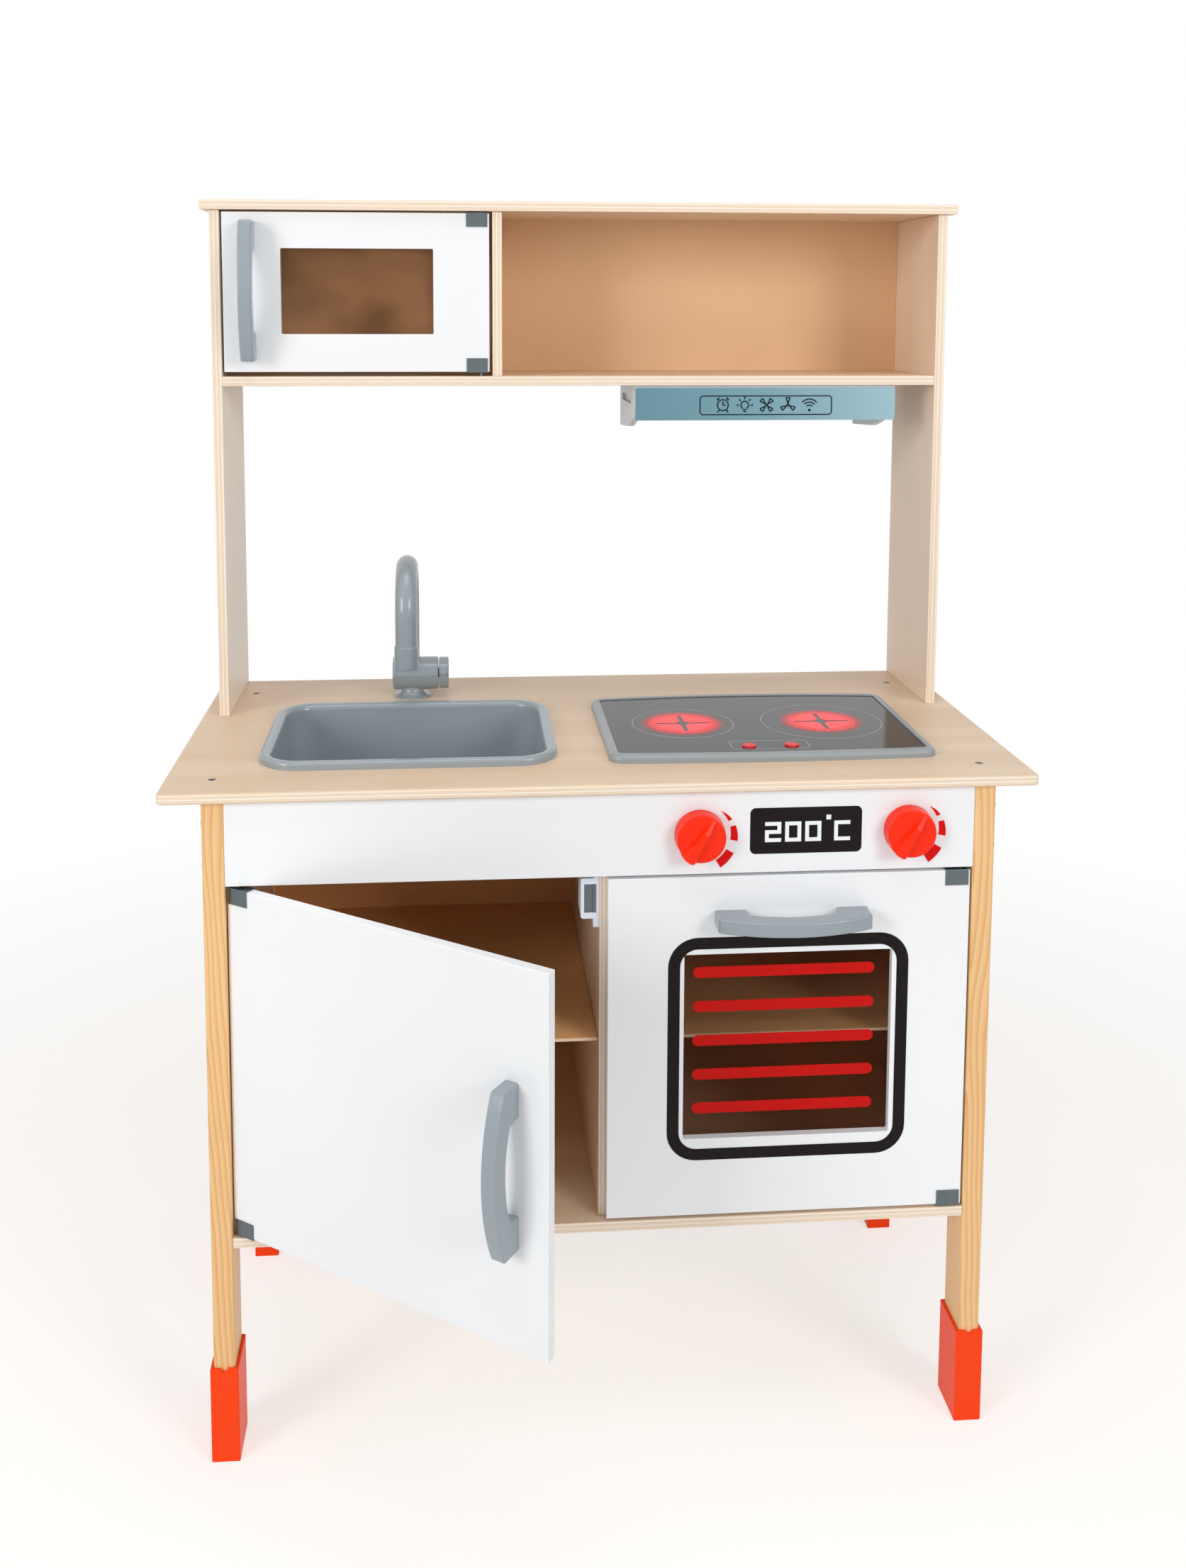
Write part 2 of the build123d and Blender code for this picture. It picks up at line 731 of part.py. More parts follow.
def sink():
    """The bowl with its raised rim, hung in the worktop's cut-out."""
    rim_top = worktop_top + sink_rim_height
    x0 = sink_x
    edge = RectangleRounded(sink_width, sink_depth, sink_corner)
    rim = Pos(x0, sink_middle, worktop_top) * extrude(edge, sink_rim_height)
    rim = fillet(rim.edges().group_by(Axis.Z)[-1], sink_rim_easing)
    open_width = sink_width - 2 * sink_rim_width
    open_depth = sink_depth - 2 * sink_rim_width
    open_corner = sink_corner - sink_rim_width
    floor_z = rim_top - sink_bowl_depth
    mouth_plan = RectangleRounded(open_width, open_depth, open_corner)
    drafted = extrude(mouth_plan, sink_bowl_depth, taper=sink_draft)
    hollow = Pos(x0, sink_middle, rim_top) * Rot(180, 0, 0) * drafted
    hollow = fillet(hollow.edges().group_by(Axis.Z)[0], sink_floor_radius)
    thick = 2 * sink_wall
    shell_plan = RectangleRounded(open_width + thick, open_depth + thick, open_corner + sink_wall)
    outer = extrude(shell_plan, sink_bowl_depth + sink_wall - sink_tuck, taper=sink_draft)
    outer = Pos(x0, sink_middle, rim_top - sink_tuck) * Rot(180, 0, 0) * outer
    outer = fillet(outer.edges().group_by(Axis.Z)[0], sink_floor_radius + sink_wall)
    bowl = rim + outer - hollow
    top_edges = bowl.edges().group_by(Axis.Z)[-1]
    mouth = [edge for edge in top_edges if edge.bounding_box().size.X <= open_width + sink_wall]
    return fillet(mouth, sink_mouth_easing)


def worktop():
    low = leg_top
    zs = (low, worktop_top)
    top = Box(worktop_width, worktop_depth, board)
    top = fillet(top.edges().filter_by(Axis.Z), worktop_corner)
    rims = top.faces().sort_by(Axis.Z)[-1].edges() + top.faces().sort_by(Axis.Z)[0].edges()
    top = fillet(rims, worktop_easing)
    top = Pos(0, worktop_depth / 2, (zs[0] + zs[1]) / 2) * top
    around = 2 * (sink_wall + cutout_clearance)
    cut_width = sink_width - 2 * sink_rim_width + around
    cut_depth = sink_depth - 2 * sink_rim_width + around
    cut = RectangleRounded(cut_width, cut_depth, sink_corner - sink_rim_width + around / 2)
    top -= Pos(sink_x, sink_middle, low - 1) * extrude(cut, board + 2)
    case_wide = hob_case_width + 2 * cutout_clearance
    case_deep = hob_case_depth + 2 * cutout_clearance
    case_hole = RectangleRounded(case_wide, case_deep, hob_case_corner + cutout_clearance)
    top -= Pos(hob_x, hob_middle, low - 1) * extrude(case_hole, board + 2)
    stem_hole = tap_stem_diameter / 2 + fit_gap
    top -= rod(stem_hole, (tap_x, tap_y, low - 1), (tap_x, tap_y, worktop_top + 1))
    return bored(top)


def tap_body():
    """Flange, neck and lying barrel in one moulding, with a stem down through the worktop."""
    z = worktop_top
    flange_r = tap_flange_diameter / 2
    neck_r = tap_neck_diameter / 2
    flare_top = z + tap_flange_height + tap_flare_height
    edge = z + tap_flange_height
    bend = (neck_r + (flange_r - neck_r) * 0.3, edge + tap_flare_height * 0.3)
    profile = Polyline((0, barrel_z), (0, z), (flange_r, z), (flange_r, edge))
    profile += ThreePointArc((flange_r, edge), bend, (neck_r, flare_top))
    profile += Polyline((neck_r, flare_top), (neck_r, barrel_z), (0, barrel_z))
    stand = Pos(tap_x, tap_y, 0) * revolve(Plane.XZ * make_face(profile), Axis.Z)
    barrel = rod(tap_barrel_diameter / 2, (0, 0, 0), (tap_barrel_length, 0, 0))
    barrel = fillet(barrel.edges().filter_by(GeomType.CIRCLE), tap_easing)
    body = stand + Pos(tap_x - tap_barrel_left, tap_y, barrel_z) * barrel
    body += rod(tap_stem_diameter / 2, (tap_x, tap_y, z), (tap_x, tap_y, z - tap_stem_length))
    top = barrel_z + tap_barrel_diameter / 2
    body += rod(spout_diameter / 2, (spout_x, tap_y, barrel_z), (spout_x, tap_y, top))
    socket = spout_bore / 2 + swivel_clearance
    body -= rod(socket, (spout_x, tap_y, top - spout_socket_depth), (spout_x, tap_y, top + 1))
    right = tap_x - tap_barrel_left + tap_barrel_length
    axle = tap_axle_diameter / 2 + swivel_clearance
    body -= rod(axle, (right - tap_axle_length - 0.5, tap_y, barrel_z), (right + 1, tap_y, barrel_z))
    return body


def tap_spout():
    """The swan neck: up from the barrel, over in a half circle and down to its collar above the sink."""
    foot = barrel_z + tap_barrel_diameter / 2 + swivel_clearance
    crown = worktop_top + spout_height - spout_reach / 2 - spout_diameter / 2
    front = tap_y - spout_reach
    line = Line((spout_x, tap_y, foot), (spout_x, tap_y, crown))
    arch = ThreePointArc((spout_x, tap_y, crown), (spout_x, tap_y - spout_reach / 2, crown + spout_reach / 2),
                         (spout_x, front, crown))
    outlet = crown - spout_drop
    drop = Line((spout_x, front, crown), (spout_x, front, outlet))
    path = line + arch + drop
    tube = sweep(Plane(origin=(spout_x, tap_y, foot), z_dir=(0, 0, 1)) * Circle(spout_diameter / 2), path)
    end = outlet - spout_collar_length
    collar = rod(spout_collar_diameter / 2, (spout_x, front, outlet), (spout_x, front, end))
    tube += fillet(collar.edges().filter_by(GeomType.CIRCLE), spout_collar_easing)
    tube -= rod(spout_bore / 2, (spout_x, front, end - 1), (spout_x, front, end + spout_mouth_depth))
    plug = rod(spout_bore / 2, (spout_x, tap_y, foot + 1), (spout_x, tap_y, foot - spout_socket_depth + 1))
    return tube + plug


def tap_knob():
    """The end knob with its round peg, and the axle that turns in the barrel."""
    left = tap_x - tap_barrel_left + tap_barrel_length + tap_knob_gap
    disc = rod(tap_knob_diameter / 2, (left, tap_y, barrel_z), (left + tap_knob_length, tap_y, barrel_z))
    disc = fillet(disc.edges().filter_by(GeomType.CIRCLE), tap_easing)
    middle = left + tap_knob_length / 2
    tilt = radians(tap_peg_tilt)
    ends = []
    for reach in (tap_knob_diameter / 4, tap_knob_diameter / 2 + tap_peg_height):
        ends.append((middle, tap_y - reach * cos(tilt), barrel_z + reach * sin(tilt)))
    peg = rod(tap_peg_diameter / 2, *ends)
    axle_end = left - tap_knob_gap - tap_axle_length
    axle = rod(tap_axle_diameter / 2, (left + 1, tap_y, barrel_z), (axle_end, tap_y, barrel_z))
    return disc + peg + axle


def hob_outline(inset):
    """The hob's plan: straight sides, a front edge and a rear edge that bow outwards."""
    half = hob_width / 2 - inset
    front = -hob_depth / 2 + inset
    rear = hob_depth / 2 - inset
    edge = Line((-half, front), (-half, rear))
    edge += ThreePointArc((-half, rear), (0, rear + hob_rear_bow), (half, rear))
    edge += Line((half, rear), (half, front))
    edge += ThreePointArc((half, front), (0, front - hob_front_bow), (-half, front))
    plan = make_face(edge)
    return fillet(plan.vertices(), max(hob_corner - inset, 1))


def hob_frame():
    ring = Pos(hob_x, hob_middle, worktop_top) * extrude(hob_outline(0), hob_height)
    ring = fillet(ring.edges().group_by(Axis.Z)[-1], hob_easing)
    opening = extrude(hob_outline(hob_border + hob_lip), hob_height + 2)
    opening = Pos(hob_x, hob_middle, worktop_top - 1) * opening
    seat = Pos(hob_x, hob_middle, hob_case_top) * extrude(hob_outline(hob_border), hob_height)
    return ring - opening - seat


def hob_glass():
    sheet = hob_outline(hob_border + hob_glass_gap)
    glass = Pos(hob_x, hob_middle, hob_case_top) * extrude(sheet, hob_glass_thickness)
    for button_x in button_xs:
        hole = hob_button_diameter / 2 + hob_button_clearance
        glass -= rod(hole, (button_x, button_y, hob_case_top - 1), (button_x, button_y, hob_glass_top + 1))
    return glass


def case_ranges():
    xs = (hob_x - hob_case_width / 2, hob_x + hob_case_width / 2)
    ys = (hob_middle - hob_case_depth / 2, hob_middle + hob_case_depth / 2)
    return xs, ys


def hob_housing():
    """The tray under the glass, with standing ribs for the circuit board and a battery door below."""
    xs, ys = case_ranges()
    bottom = hob_case_top - hob_case_height
    case = block(xs, ys, (bottom, hob_case_top))
    case = fillet(case.edges().filter_by(Axis.Z), hob_case_corner)
    wall = hob_case_wall
    inner_xs = (xs[0] + wall, xs[1] - wall)
    inner_ys = (ys[0] + wall, ys[1] - wall)
    case -= block(inner_xs, inner_ys, (bottom + wall, hob_case_top + 1))
    board_z = hob_case_top - circuit_board_rise
    for side_x in (-1, 1):
        for side_y in (-1, 1):
            post_x = hob_x + side_x * (circuit_board_width / 2 - hob_post_inset)
            post_y = hob_middle + side_y * (circuit_board_depth / 2 - hob_post_inset)
            foot = (post_x, post_y, bottom + wall / 2)
            case += rod(hob_post_diameter / 2, foot, (post_x, post_y, board_z))
    door_x, door_y = battery_ranges()
    case -= block(door_x, door_y, (bottom - 1, bottom + wall + 1))
    return case


def battery_ranges():
    wide = battery_count * battery_pitch + battery_side_room
    deep = battery_length + battery_end_room
    xs = (hob_x - wide / 2, hob_x + wide / 2)
    ys = (hob_middle - deep / 2, hob_middle + deep / 2)
    return xs, ys


def battery_cover():
    xs, ys = battery_ranges()
    bottom = hob_case_top - hob_case_height
    gap = fit_gap
    lid_xs = (xs[0] + gap, xs[1] - gap)
    lid_ys = (ys[0] + gap, ys[1] - gap)
    lid = block(lid_xs, lid_ys, (bottom, bottom + battery_cover_thickness))
    return fillet(lid.edges().filter_by(Axis.Z), 1)


def batteries():
    cells = []
    z = hob_case_top - hob_case_height + battery_cover_thickness + battery_diameter / 2 + fit_gap
    for index in range(battery_count):
        x = hob_x + (index - (battery_count - 1) / 2) * battery_pitch
        start = hob_middle - battery_length / 2
        end = start + battery_length
        can_end = end - battery_tip_length
        cell = rod(battery_diameter / 2, (x, start, z), (x, can_end, z))
        cell = fillet(cell.edges().filter_by(GeomType.CIRCLE), battery_easing)
        cells.append(cell + rod(battery_tip_diameter / 2, (x, can_end - battery_tip_length, z), (x, end, z)))
    return group(cells)


def circuit_board():
    """The board with a ring of lights under each burner and a switch under each button."""
    low = hob_case_top - circuit_board_rise
    half_x = circuit_board_width / 2
    half_y = circuit_board_depth / 2
    top = low + circuit_board_thickness
    xs = (hob_x - half_x, hob_x + half_x)
    plate = block(xs, (hob_middle - half_y, hob_middle + half_y), (low, top))
    for burner_x in burner_xs:
        for turn in range(4):
            angle = radians(45 + 90 * turn)
            x = burner_x + light_ring * cos(angle)
            y = burner_y + light_ring * sin(angle)
            plate += rod(light_diameter / 2, (x, y, low), (x, y, top + light_height))
    half = switch_size / 2
    switch_top = hob_glass_top + hob_button_proud - hob_button_height - hob_button_travel - fit_gap
    for x in button_xs:
        plate += block((x - half, x + half), (button_y - half, button_y + half), (low, switch_top))
    return plate


def hob_button(button_x):
    """A push button in the glass, with a collar below it that keeps it in."""
    top = hob_glass_top + hob_button_proud
    foot = (button_x, button_y, top - hob_button_height)
    cap = rod(hob_button_diameter / 2, foot, (button_x, button_y, top))
    cap = fillet(cap.edges().filter_by(GeomType.CIRCLE).group_by(Axis.Z)[-1], hob_button_easing)
    collar_top = hob_case_top - fit_gap
    under = collar_top - hob_button_flange_thickness
    return cap + rod(hob_button_flange / 2, (button_x, button_y, under), (button_x, button_y, collar_top))


def hutch_upright(side):
    xs = sorted((side * upright_inner, side * upright_outer))
    wall = block(xs, (hutch_front, worktop_depth), (worktop_top, hutch_top_underside), board_easing)
    return bored(wall)


def hutch_shelf():
    ys = (hutch_front, hutch_back_front)
    shelf = block((-upright_inner, upright_inner), ys, (hutch_shelf_height, hutch_shelf_top), board_easing)
    shelf -= pin_bore(microwave_pin_x, microwave_pin_y, hutch_shelf_top, -1)
    return bored(shelf)


def hutch_divider():
    xs = (hutch_divider_x - board / 2, hutch_divider_x + board / 2)
    ys = (hutch_front, hutch_back_front)
    return bored(block(xs, ys, (hutch_shelf_top, hutch_top_underside), board_easing))


def hutch_top():
    reach = upright_outer + hutch_top_overhang
    ys = (hutch_front - hutch_top_front_overhang, worktop_depth)
    lid = block((-reach, reach), ys, (hutch_top_underside, hutch_height), board_easing)
    lid -= pin_bore(microwave_pin_x, microwave_pin_y, hutch_top_underside, 1)
    return bored(lid)


def hutch_back():
    xs = (-upright_inner + fit_gap, upright_inner - fit_gap)
    return block(xs, (hutch_back_front, worktop_depth), (hutch_shelf_height, hutch_top_underside))


def hood_body():
    """Two cheeks joined by a top plate, screwed up under the hutch shelf."""
    top = hutch_shelf_height
    front = hutch_front + hood_panel_thickness
    half = hood_width / 2
    rear = hutch_front + hood_cheek_depth
    pieces = block((hood_x - half, hood_x + half), (front, rear), (top - hood_plate, top))
    side_view = Polyline((front, top), (rear, top), (rear, top - hood_cheek_rear_height),
                         (hutch_front + hood_cheek_bend_depth, top - hood_cheek_bend_height),
                         (front, top - hood_cheek_front_height), close=True)
    cheek = extrude(Plane.YZ * make_face(side_view), hood_cheek)
    cheek = fillet(cheek.edges().filter_by(Axis.X).group_by(Axis.Z)[0], 3)
    slot_y = (hutch_front + hood_slot_start, hutch_front + hood_slot_start + hood_slot_length)
    slot_z = (top - hood_slot_drop - hood_slot_height, top - hood_slot_drop)
    for side in (-1, 1):
        start = hood_x - half if side < 0 else hood_x + half - hood_cheek
        pieces += Pos(start, 0, 0) * cheek
        outer = hood_x + side * half
        slot = block(sorted((outer - side * hood_slot_deep, outer + side)), slot_y, slot_z)
        pieces -= fillet(slot.edges().filter_by(Axis.X), hood_slot_height / 2 - 0.1)
    return bored(pieces)


def hood_panel():
    top = hutch_shelf_height - hood_top_gap
    half = hood_width / 2
    ys = (hutch_front, hutch_front + hood_panel_thickness)
    face = block((hood_x - half, hood_x + half), ys, (top - hood_panel_height, top))
    return fillet(face.edges().filter_by(Axis.Y), 2)


def hinged(x, y, angle, pieces):
    """Swings a door's pieces about its pin, seen from above."""
    turned = {}
    for name, piece in pieces.items():
        turned[name] = Pos(x, y, 0) * Rot(0, 0, angle) * Pos(-x, -y, 0) * piece
    return turned


def door_set(name, xs, front, zs, end_gaps, hinge_side, window, handle_middle, handle_upright):
    """Everything that swings with one door, at its closed place."""
    hinge_edge = xs[1] if hinge_side > 0 else xs[0]
    turn_x = hinge_edge - hinge_side * pin_inset
    turn_y = front + door_thickness / 2
    rear = front + door_thickness
    plane, spots = handle_places(handle_middle, front, handle_upright)
    pieces = {}
    pieces[name + "_door"] = door_panel(xs, front, zs, window, spots)
    pieces[name + "_handle"] = plane * handle()
    screws = [placed(screw_solid(small_screw), spot, (0, -1, 0)) for spot in spots]
    pieces[name + "_handle_screws"] = group(screws)
    clips = []
    for z, way, gap in ((zs[0], -1, end_gaps[0]), (zs[1], 1, end_gaps[1])):
        clips.append(clip(turn_x, turn_y, z, way, hinge_side, gap))
    pieces[name + "_hinge_clips"] = group(clips)
    pieces[name + "_strike_plate"] = strike_plate(catches[name], rear)
    if window:
        pieces[name + "_window"] = pane(window, rear)
    return pieces


oven_window_x = (door_inner + oven_window_side, door_inner + oven_window_side + oven_window_width)
oven_window_z = (door_bottom + oven_window_bottom, door_bottom + oven_window_bottom + oven_window_height)
microwave_window_x = (microwave_free_edge + microwave_window_side,
                      microwave_free_edge + microwave_window_side + microwave_window_width)
microwave_window_z = (microwave_bottom + microwave_window_bottom,
                      microwave_bottom + microwave_window_bottom + microwave_window_height)

parts = {}
parts["worktop"] = worktop()
for side in (-1, 1):
    for rear in (False, True):
        place = ("rear_" if rear else "front_") + side_name(side)
        parts["leg_" + place] = leg(side, rear)
        parts["foot_sleeve_" + place] = foot_sleeve(side, rear)
    parts["side_panel_" + side_name(side)] = side_panel(side)
    parts["hutch_upright_" + side_name(side)] = hutch_upright(side)
parts["cabinet_base"] = cabinet_base()
parts["cabinet_divider"] = cabinet_divider()
parts["cabinet_back"] = cabinet_back()
parts["cupboard_shelf"] = inner_shelf(-1)
parts["oven_shelf"] = inner_shelf(1)
parts["control_panel"] = control_panel()
parts["left_knob"] = knob(left_knob_x)
parts["right_knob"] = knob(right_knob_x)
parts["wooden_pegs"] = group([peg_rod(peg, 0) for peg in pegs])
all_screws = frame_screws + hood_screws + catch_screws
parts["frame_screws"] = group([placed(screw_solid(k), p, d) for k, p, d in all_screws])
parts["magnetic_catches"] = group([catch_housing(*catch) for catch in catches.values()])
parts["catch_magnets"] = group([piece for catch in catches.values() for piece in catch_inside(*catch)])
parts["sink"] = sink()
parts["tap_body"] = tap_body()
parts["tap_spout"] = tap_spout()
parts["tap_knob"] = tap_knob()
parts["hob_frame"] = hob_frame()
parts["hob_glass"] = hob_glass()
parts["hob_housing"] = hob_housing()
parts["hob_circuit_board"] = circuit_board()
parts["batteries"] = batteries()
parts["battery_cover"] = battery_cover()
parts["hob_button_left"] = hob_button(button_xs[0])
parts["hob_button_right"] = hob_button(button_xs[1])
parts["hutch_shelf"] = hutch_shelf()
parts["hutch_divider"] = hutch_divider()
parts["hutch_top"] = hutch_top()
parts["hutch_back"] = hutch_back()
parts["hood_body"] = hood_body()
parts["hood_panel"] = hood_panel()

door_zs = (door_bottom, door_top)
door_gaps = (door_end_gap, door_end_gap)
microwave_gaps = (microwave_bottom_gap, microwave_top_gap)
cupboard = door_set("cupboard", (-door_outer, -door_inner), door_front, door_zs, door_gaps, -1, None,
                    (-door_inner - handle_inset, door_bottom + cupboard_handle_rise), True)
parts.update(hinged(-pin_x, pin_y, -cupboard_door_angle, cupboard))
oven_window = (oven_window_x, oven_window_z)
oven_handle_middle = (door_inner + oven_handle_side, door_top - oven_handle_drop)
parts.update(door_set("oven", (door_inner, door_outer), door_front, door_zs, door_gaps, 1,
                      oven_window, oven_handle_middle, False))
microwave_xs = (microwave_free_edge, microwave_hinge_edge)
microwave_zs = (microwave_bottom, microwave_top)
microwave_window = (microwave_window_x, microwave_window_z)
microwave_handle_x = microwave_free_edge + microwave_handle_side
microwave_handle_middle = (microwave_handle_x, microwave_bottom + microwave_handle_rise)
parts.update(door_set("microwave", microwave_xs, microwave_front, microwave_zs, microwave_gaps, 1,
                      microwave_window, microwave_handle_middle, True))

# The origin is under the middle of the whole kitchen as it stands, cupboard door ajar
corners = [shape.bounding_box() for shape in parts.values()]
middle_x = (min(box.min.X for box in corners) + max(box.max.X for box in corners)) / 2
middle_y = (min(box.min.Y for box in corners) + max(box.max.Y for box in corners)) / 2
print("origin shift", round(middle_x, 4), round(middle_y, 4), "nodes", len(parts))
for name, shape in parts.items():
    export_step(Pos(-middle_x, -middle_y, 0) * shape, "parts/" + name + ".step")
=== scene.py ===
import math

import bmesh
import bpy
from mathutils import Matrix, Vector


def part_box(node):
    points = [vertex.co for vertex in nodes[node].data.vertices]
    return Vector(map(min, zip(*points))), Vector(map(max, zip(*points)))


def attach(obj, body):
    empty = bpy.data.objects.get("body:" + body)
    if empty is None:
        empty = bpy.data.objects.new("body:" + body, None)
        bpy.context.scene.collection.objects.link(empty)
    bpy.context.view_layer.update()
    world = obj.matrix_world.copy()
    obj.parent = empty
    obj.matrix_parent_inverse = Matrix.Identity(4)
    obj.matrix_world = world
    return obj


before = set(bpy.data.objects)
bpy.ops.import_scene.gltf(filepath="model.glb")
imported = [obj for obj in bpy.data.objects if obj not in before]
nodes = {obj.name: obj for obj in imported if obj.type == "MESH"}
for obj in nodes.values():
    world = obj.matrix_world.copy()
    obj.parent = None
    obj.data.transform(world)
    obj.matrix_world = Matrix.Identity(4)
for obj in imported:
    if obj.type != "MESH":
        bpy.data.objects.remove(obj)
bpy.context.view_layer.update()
MM = 0.001
WORKTOP_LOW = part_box("worktop")[0]
BLACK = (0, 0, 0, 1)
WHITE = (1, 1, 1, 1)

# Plywood: the boards' thickness, how often the layers repeat in it, and the least share of a normal along
# the thickness that makes a surface a face and not an edge
BOARD = 0.009
LAYERS = 2.5
FACE_LIMIT = 0.45

# Places in millimetres, behind the worktop's front edge and above the floor
PANEL_FRONT = 8
DOOR_FRONT = 8
HOB_TOP = 583
KNOB_HEIGHT = 531

# Prints, in millimetres: how thick ink lies, and fine ink, and how wide an icon's strokes are. A drawn
# circle stops a degree short of closing
INK = 0.25
FINE_INK = INK * 0.6
STROKE = 0.8
WHOLE_TURN = 359


def spot(x, y, z):
    """A point from millimetres right of the middle, behind the worktop's front edge and above the floor."""
    return Vector((x * MM, WORKTOP_LOW.y + y * MM, z * MM))


def shade(red, green, blue):
    """A colour given in the 0 to 255 values that the eye sees, as the linear values that a shader takes."""
    def linear(value):
        value = value / 255
        return value / 12.92 if value <= 0.04045 else ((value + 0.055) / 1.055) ** 2.4
    return (linear(red), linear(green), linear(blue), 1)


def dimmed(colour, share):
    """A colour with only a share of its light."""
    return tuple(value * share for value in colour[:3]) + (1,)


class Finish:
    """One material, built node by node on an object's own coordinates."""

    def __init__(self, name, colour, roughness, **settings):
        self.material = bpy.data.materials.new(name)
        self.material.use_nodes = True
        self.tree = self.material.node_tree
        self.shader = self.tree.nodes["Principled BSDF"]
        self.shader.inputs["Base Color"].default_value = colour
        self.shader.inputs["Roughness"].default_value = roughness
        for socket, value in settings.items():
            self.shader.inputs[socket.replace("_", " ")].default_value = value
        self.material.diffuse_color = colour

    def add(self, kind, **settings):
        node = self.tree.nodes.new("ShaderNode" + kind)
        for key, value in settings.items():
            setattr(node, key, value)
        return node

    def join(self, out, into):
        self.tree.links.new(out, into)

    def feed(self, value, socket):
        """Joins an output to a socket, or sets the socket to a plain value."""
        if hasattr(value, "is_output"):
            self.join(value, socket)
        else:
            socket.default_value = value

    def set(self, socket, out):
        self.join(out, self.shader.inputs[socket])

    def place(self, scale=(1, 1, 1), shift=(0, 0, 0)):
        """The object's coordinates, stretched so that a pattern is drawn out or packed along an axis."""
        source = self.add("TexCoord")
        mapping = self.add("Mapping")
        mapping.inputs["Location"].default_value = shift
        mapping.inputs["Scale"].default_value = scale
        self.join(source.outputs["Object"], mapping.inputs["Vector"])
        return mapping.outputs["Vector"]

    def noise(self, vector, scale, detail=3, rough=0.5, distortion=0):
        node = self.add("TexNoise")
        node.inputs["Scale"].default_value = scale
        node.inputs["Detail"].default_value = detail
        node.inputs["Roughness"].default_value = rough
        node.inputs["Distortion"].default_value = distortion
        self.join(vector, node.inputs["Vector"])
        return node.outputs["Fac"]

    def ramp(self, factor, stops, ease="LINEAR"):
        node = self.add("ValToRGB")
        node.color_ramp.interpolation = ease
        while len(node.color_ramp.elements) < len(stops):
            node.color_ramp.elements.new(0.5)
        for element, (place, colour) in zip(node.color_ramp.elements, stops):
            element.position = place
            element.color = colour
        self.join(factor, node.inputs["Fac"])
        return node.outputs["Color"]

    def mix(self, factor, one, two):
        node = self.add("Mix", data_type="RGBA")
        for socket, value in (("Factor", factor), ("A", one), ("B", two)):
            self.feed(value, [item for item in node.inputs if item.name == socket and item.enabled][0])
        return [item for item in node.outputs if item.enabled][0]

    def maths(self, operation, one, two=0.0, clamp=False):
        node = self.add("Math", operation=operation, use_clamp=clamp)
        for socket, value in zip(node.inputs, (one, two)):
            self.feed(value, socket)
        return node.outputs["Value"]

    def tint(self, factor, share, one, two):
        """The first colour, drawn towards the second by a share of the factor."""
        return self.mix(self.maths("MULTIPLY", factor, share), one, two)

    def bump(self, height, depth):
        node = self.add("Bump")
        node.inputs["Strength"].default_value = 1
        node.inputs["Distance"].default_value = depth
        self.join(height, node.inputs["Height"])
        self.set("Normal", node.outputs["Normal"])

    def vary_roughness(self, factor, low, high):
        spread = self.maths("MULTIPLY_ADD", factor, high - low)
        spread.node.inputs[2].default_value = low
        self.set("Roughness", spread)

    def parted(self, source="Object"):
        """The X, Y and Z of the object's coordinates, or of its normal, each as a value."""
        coordinates = self.add("TexCoord")
        split = self.add("SeparateXYZ")
        self.join(coordinates.outputs[source], split.inputs["Vector"])
        return split.outputs

    def on_edge(self, thickness):
        """A value that is 1 on a board's edges and 0 on its two faces."""
        facing = self.maths("ABSOLUTE", self.parted("Normal")["XYZ".index(thickness)])
        return self.maths("LESS_THAN", facing, FACE_LIMIT)

    def distance(self, one, two):
        """How far a point is from the middle, from its distances along two axes."""
        return self.maths("SQRT", self.maths("ADD", self.maths("POWER", one, 2), self.maths("POWER", two, 2)))


def stretched(axis, along, across):
    """A scale that draws a pattern out along one axis: along there, across on the other two."""
    return tuple(along if letter == axis else across for letter in "XYZ")


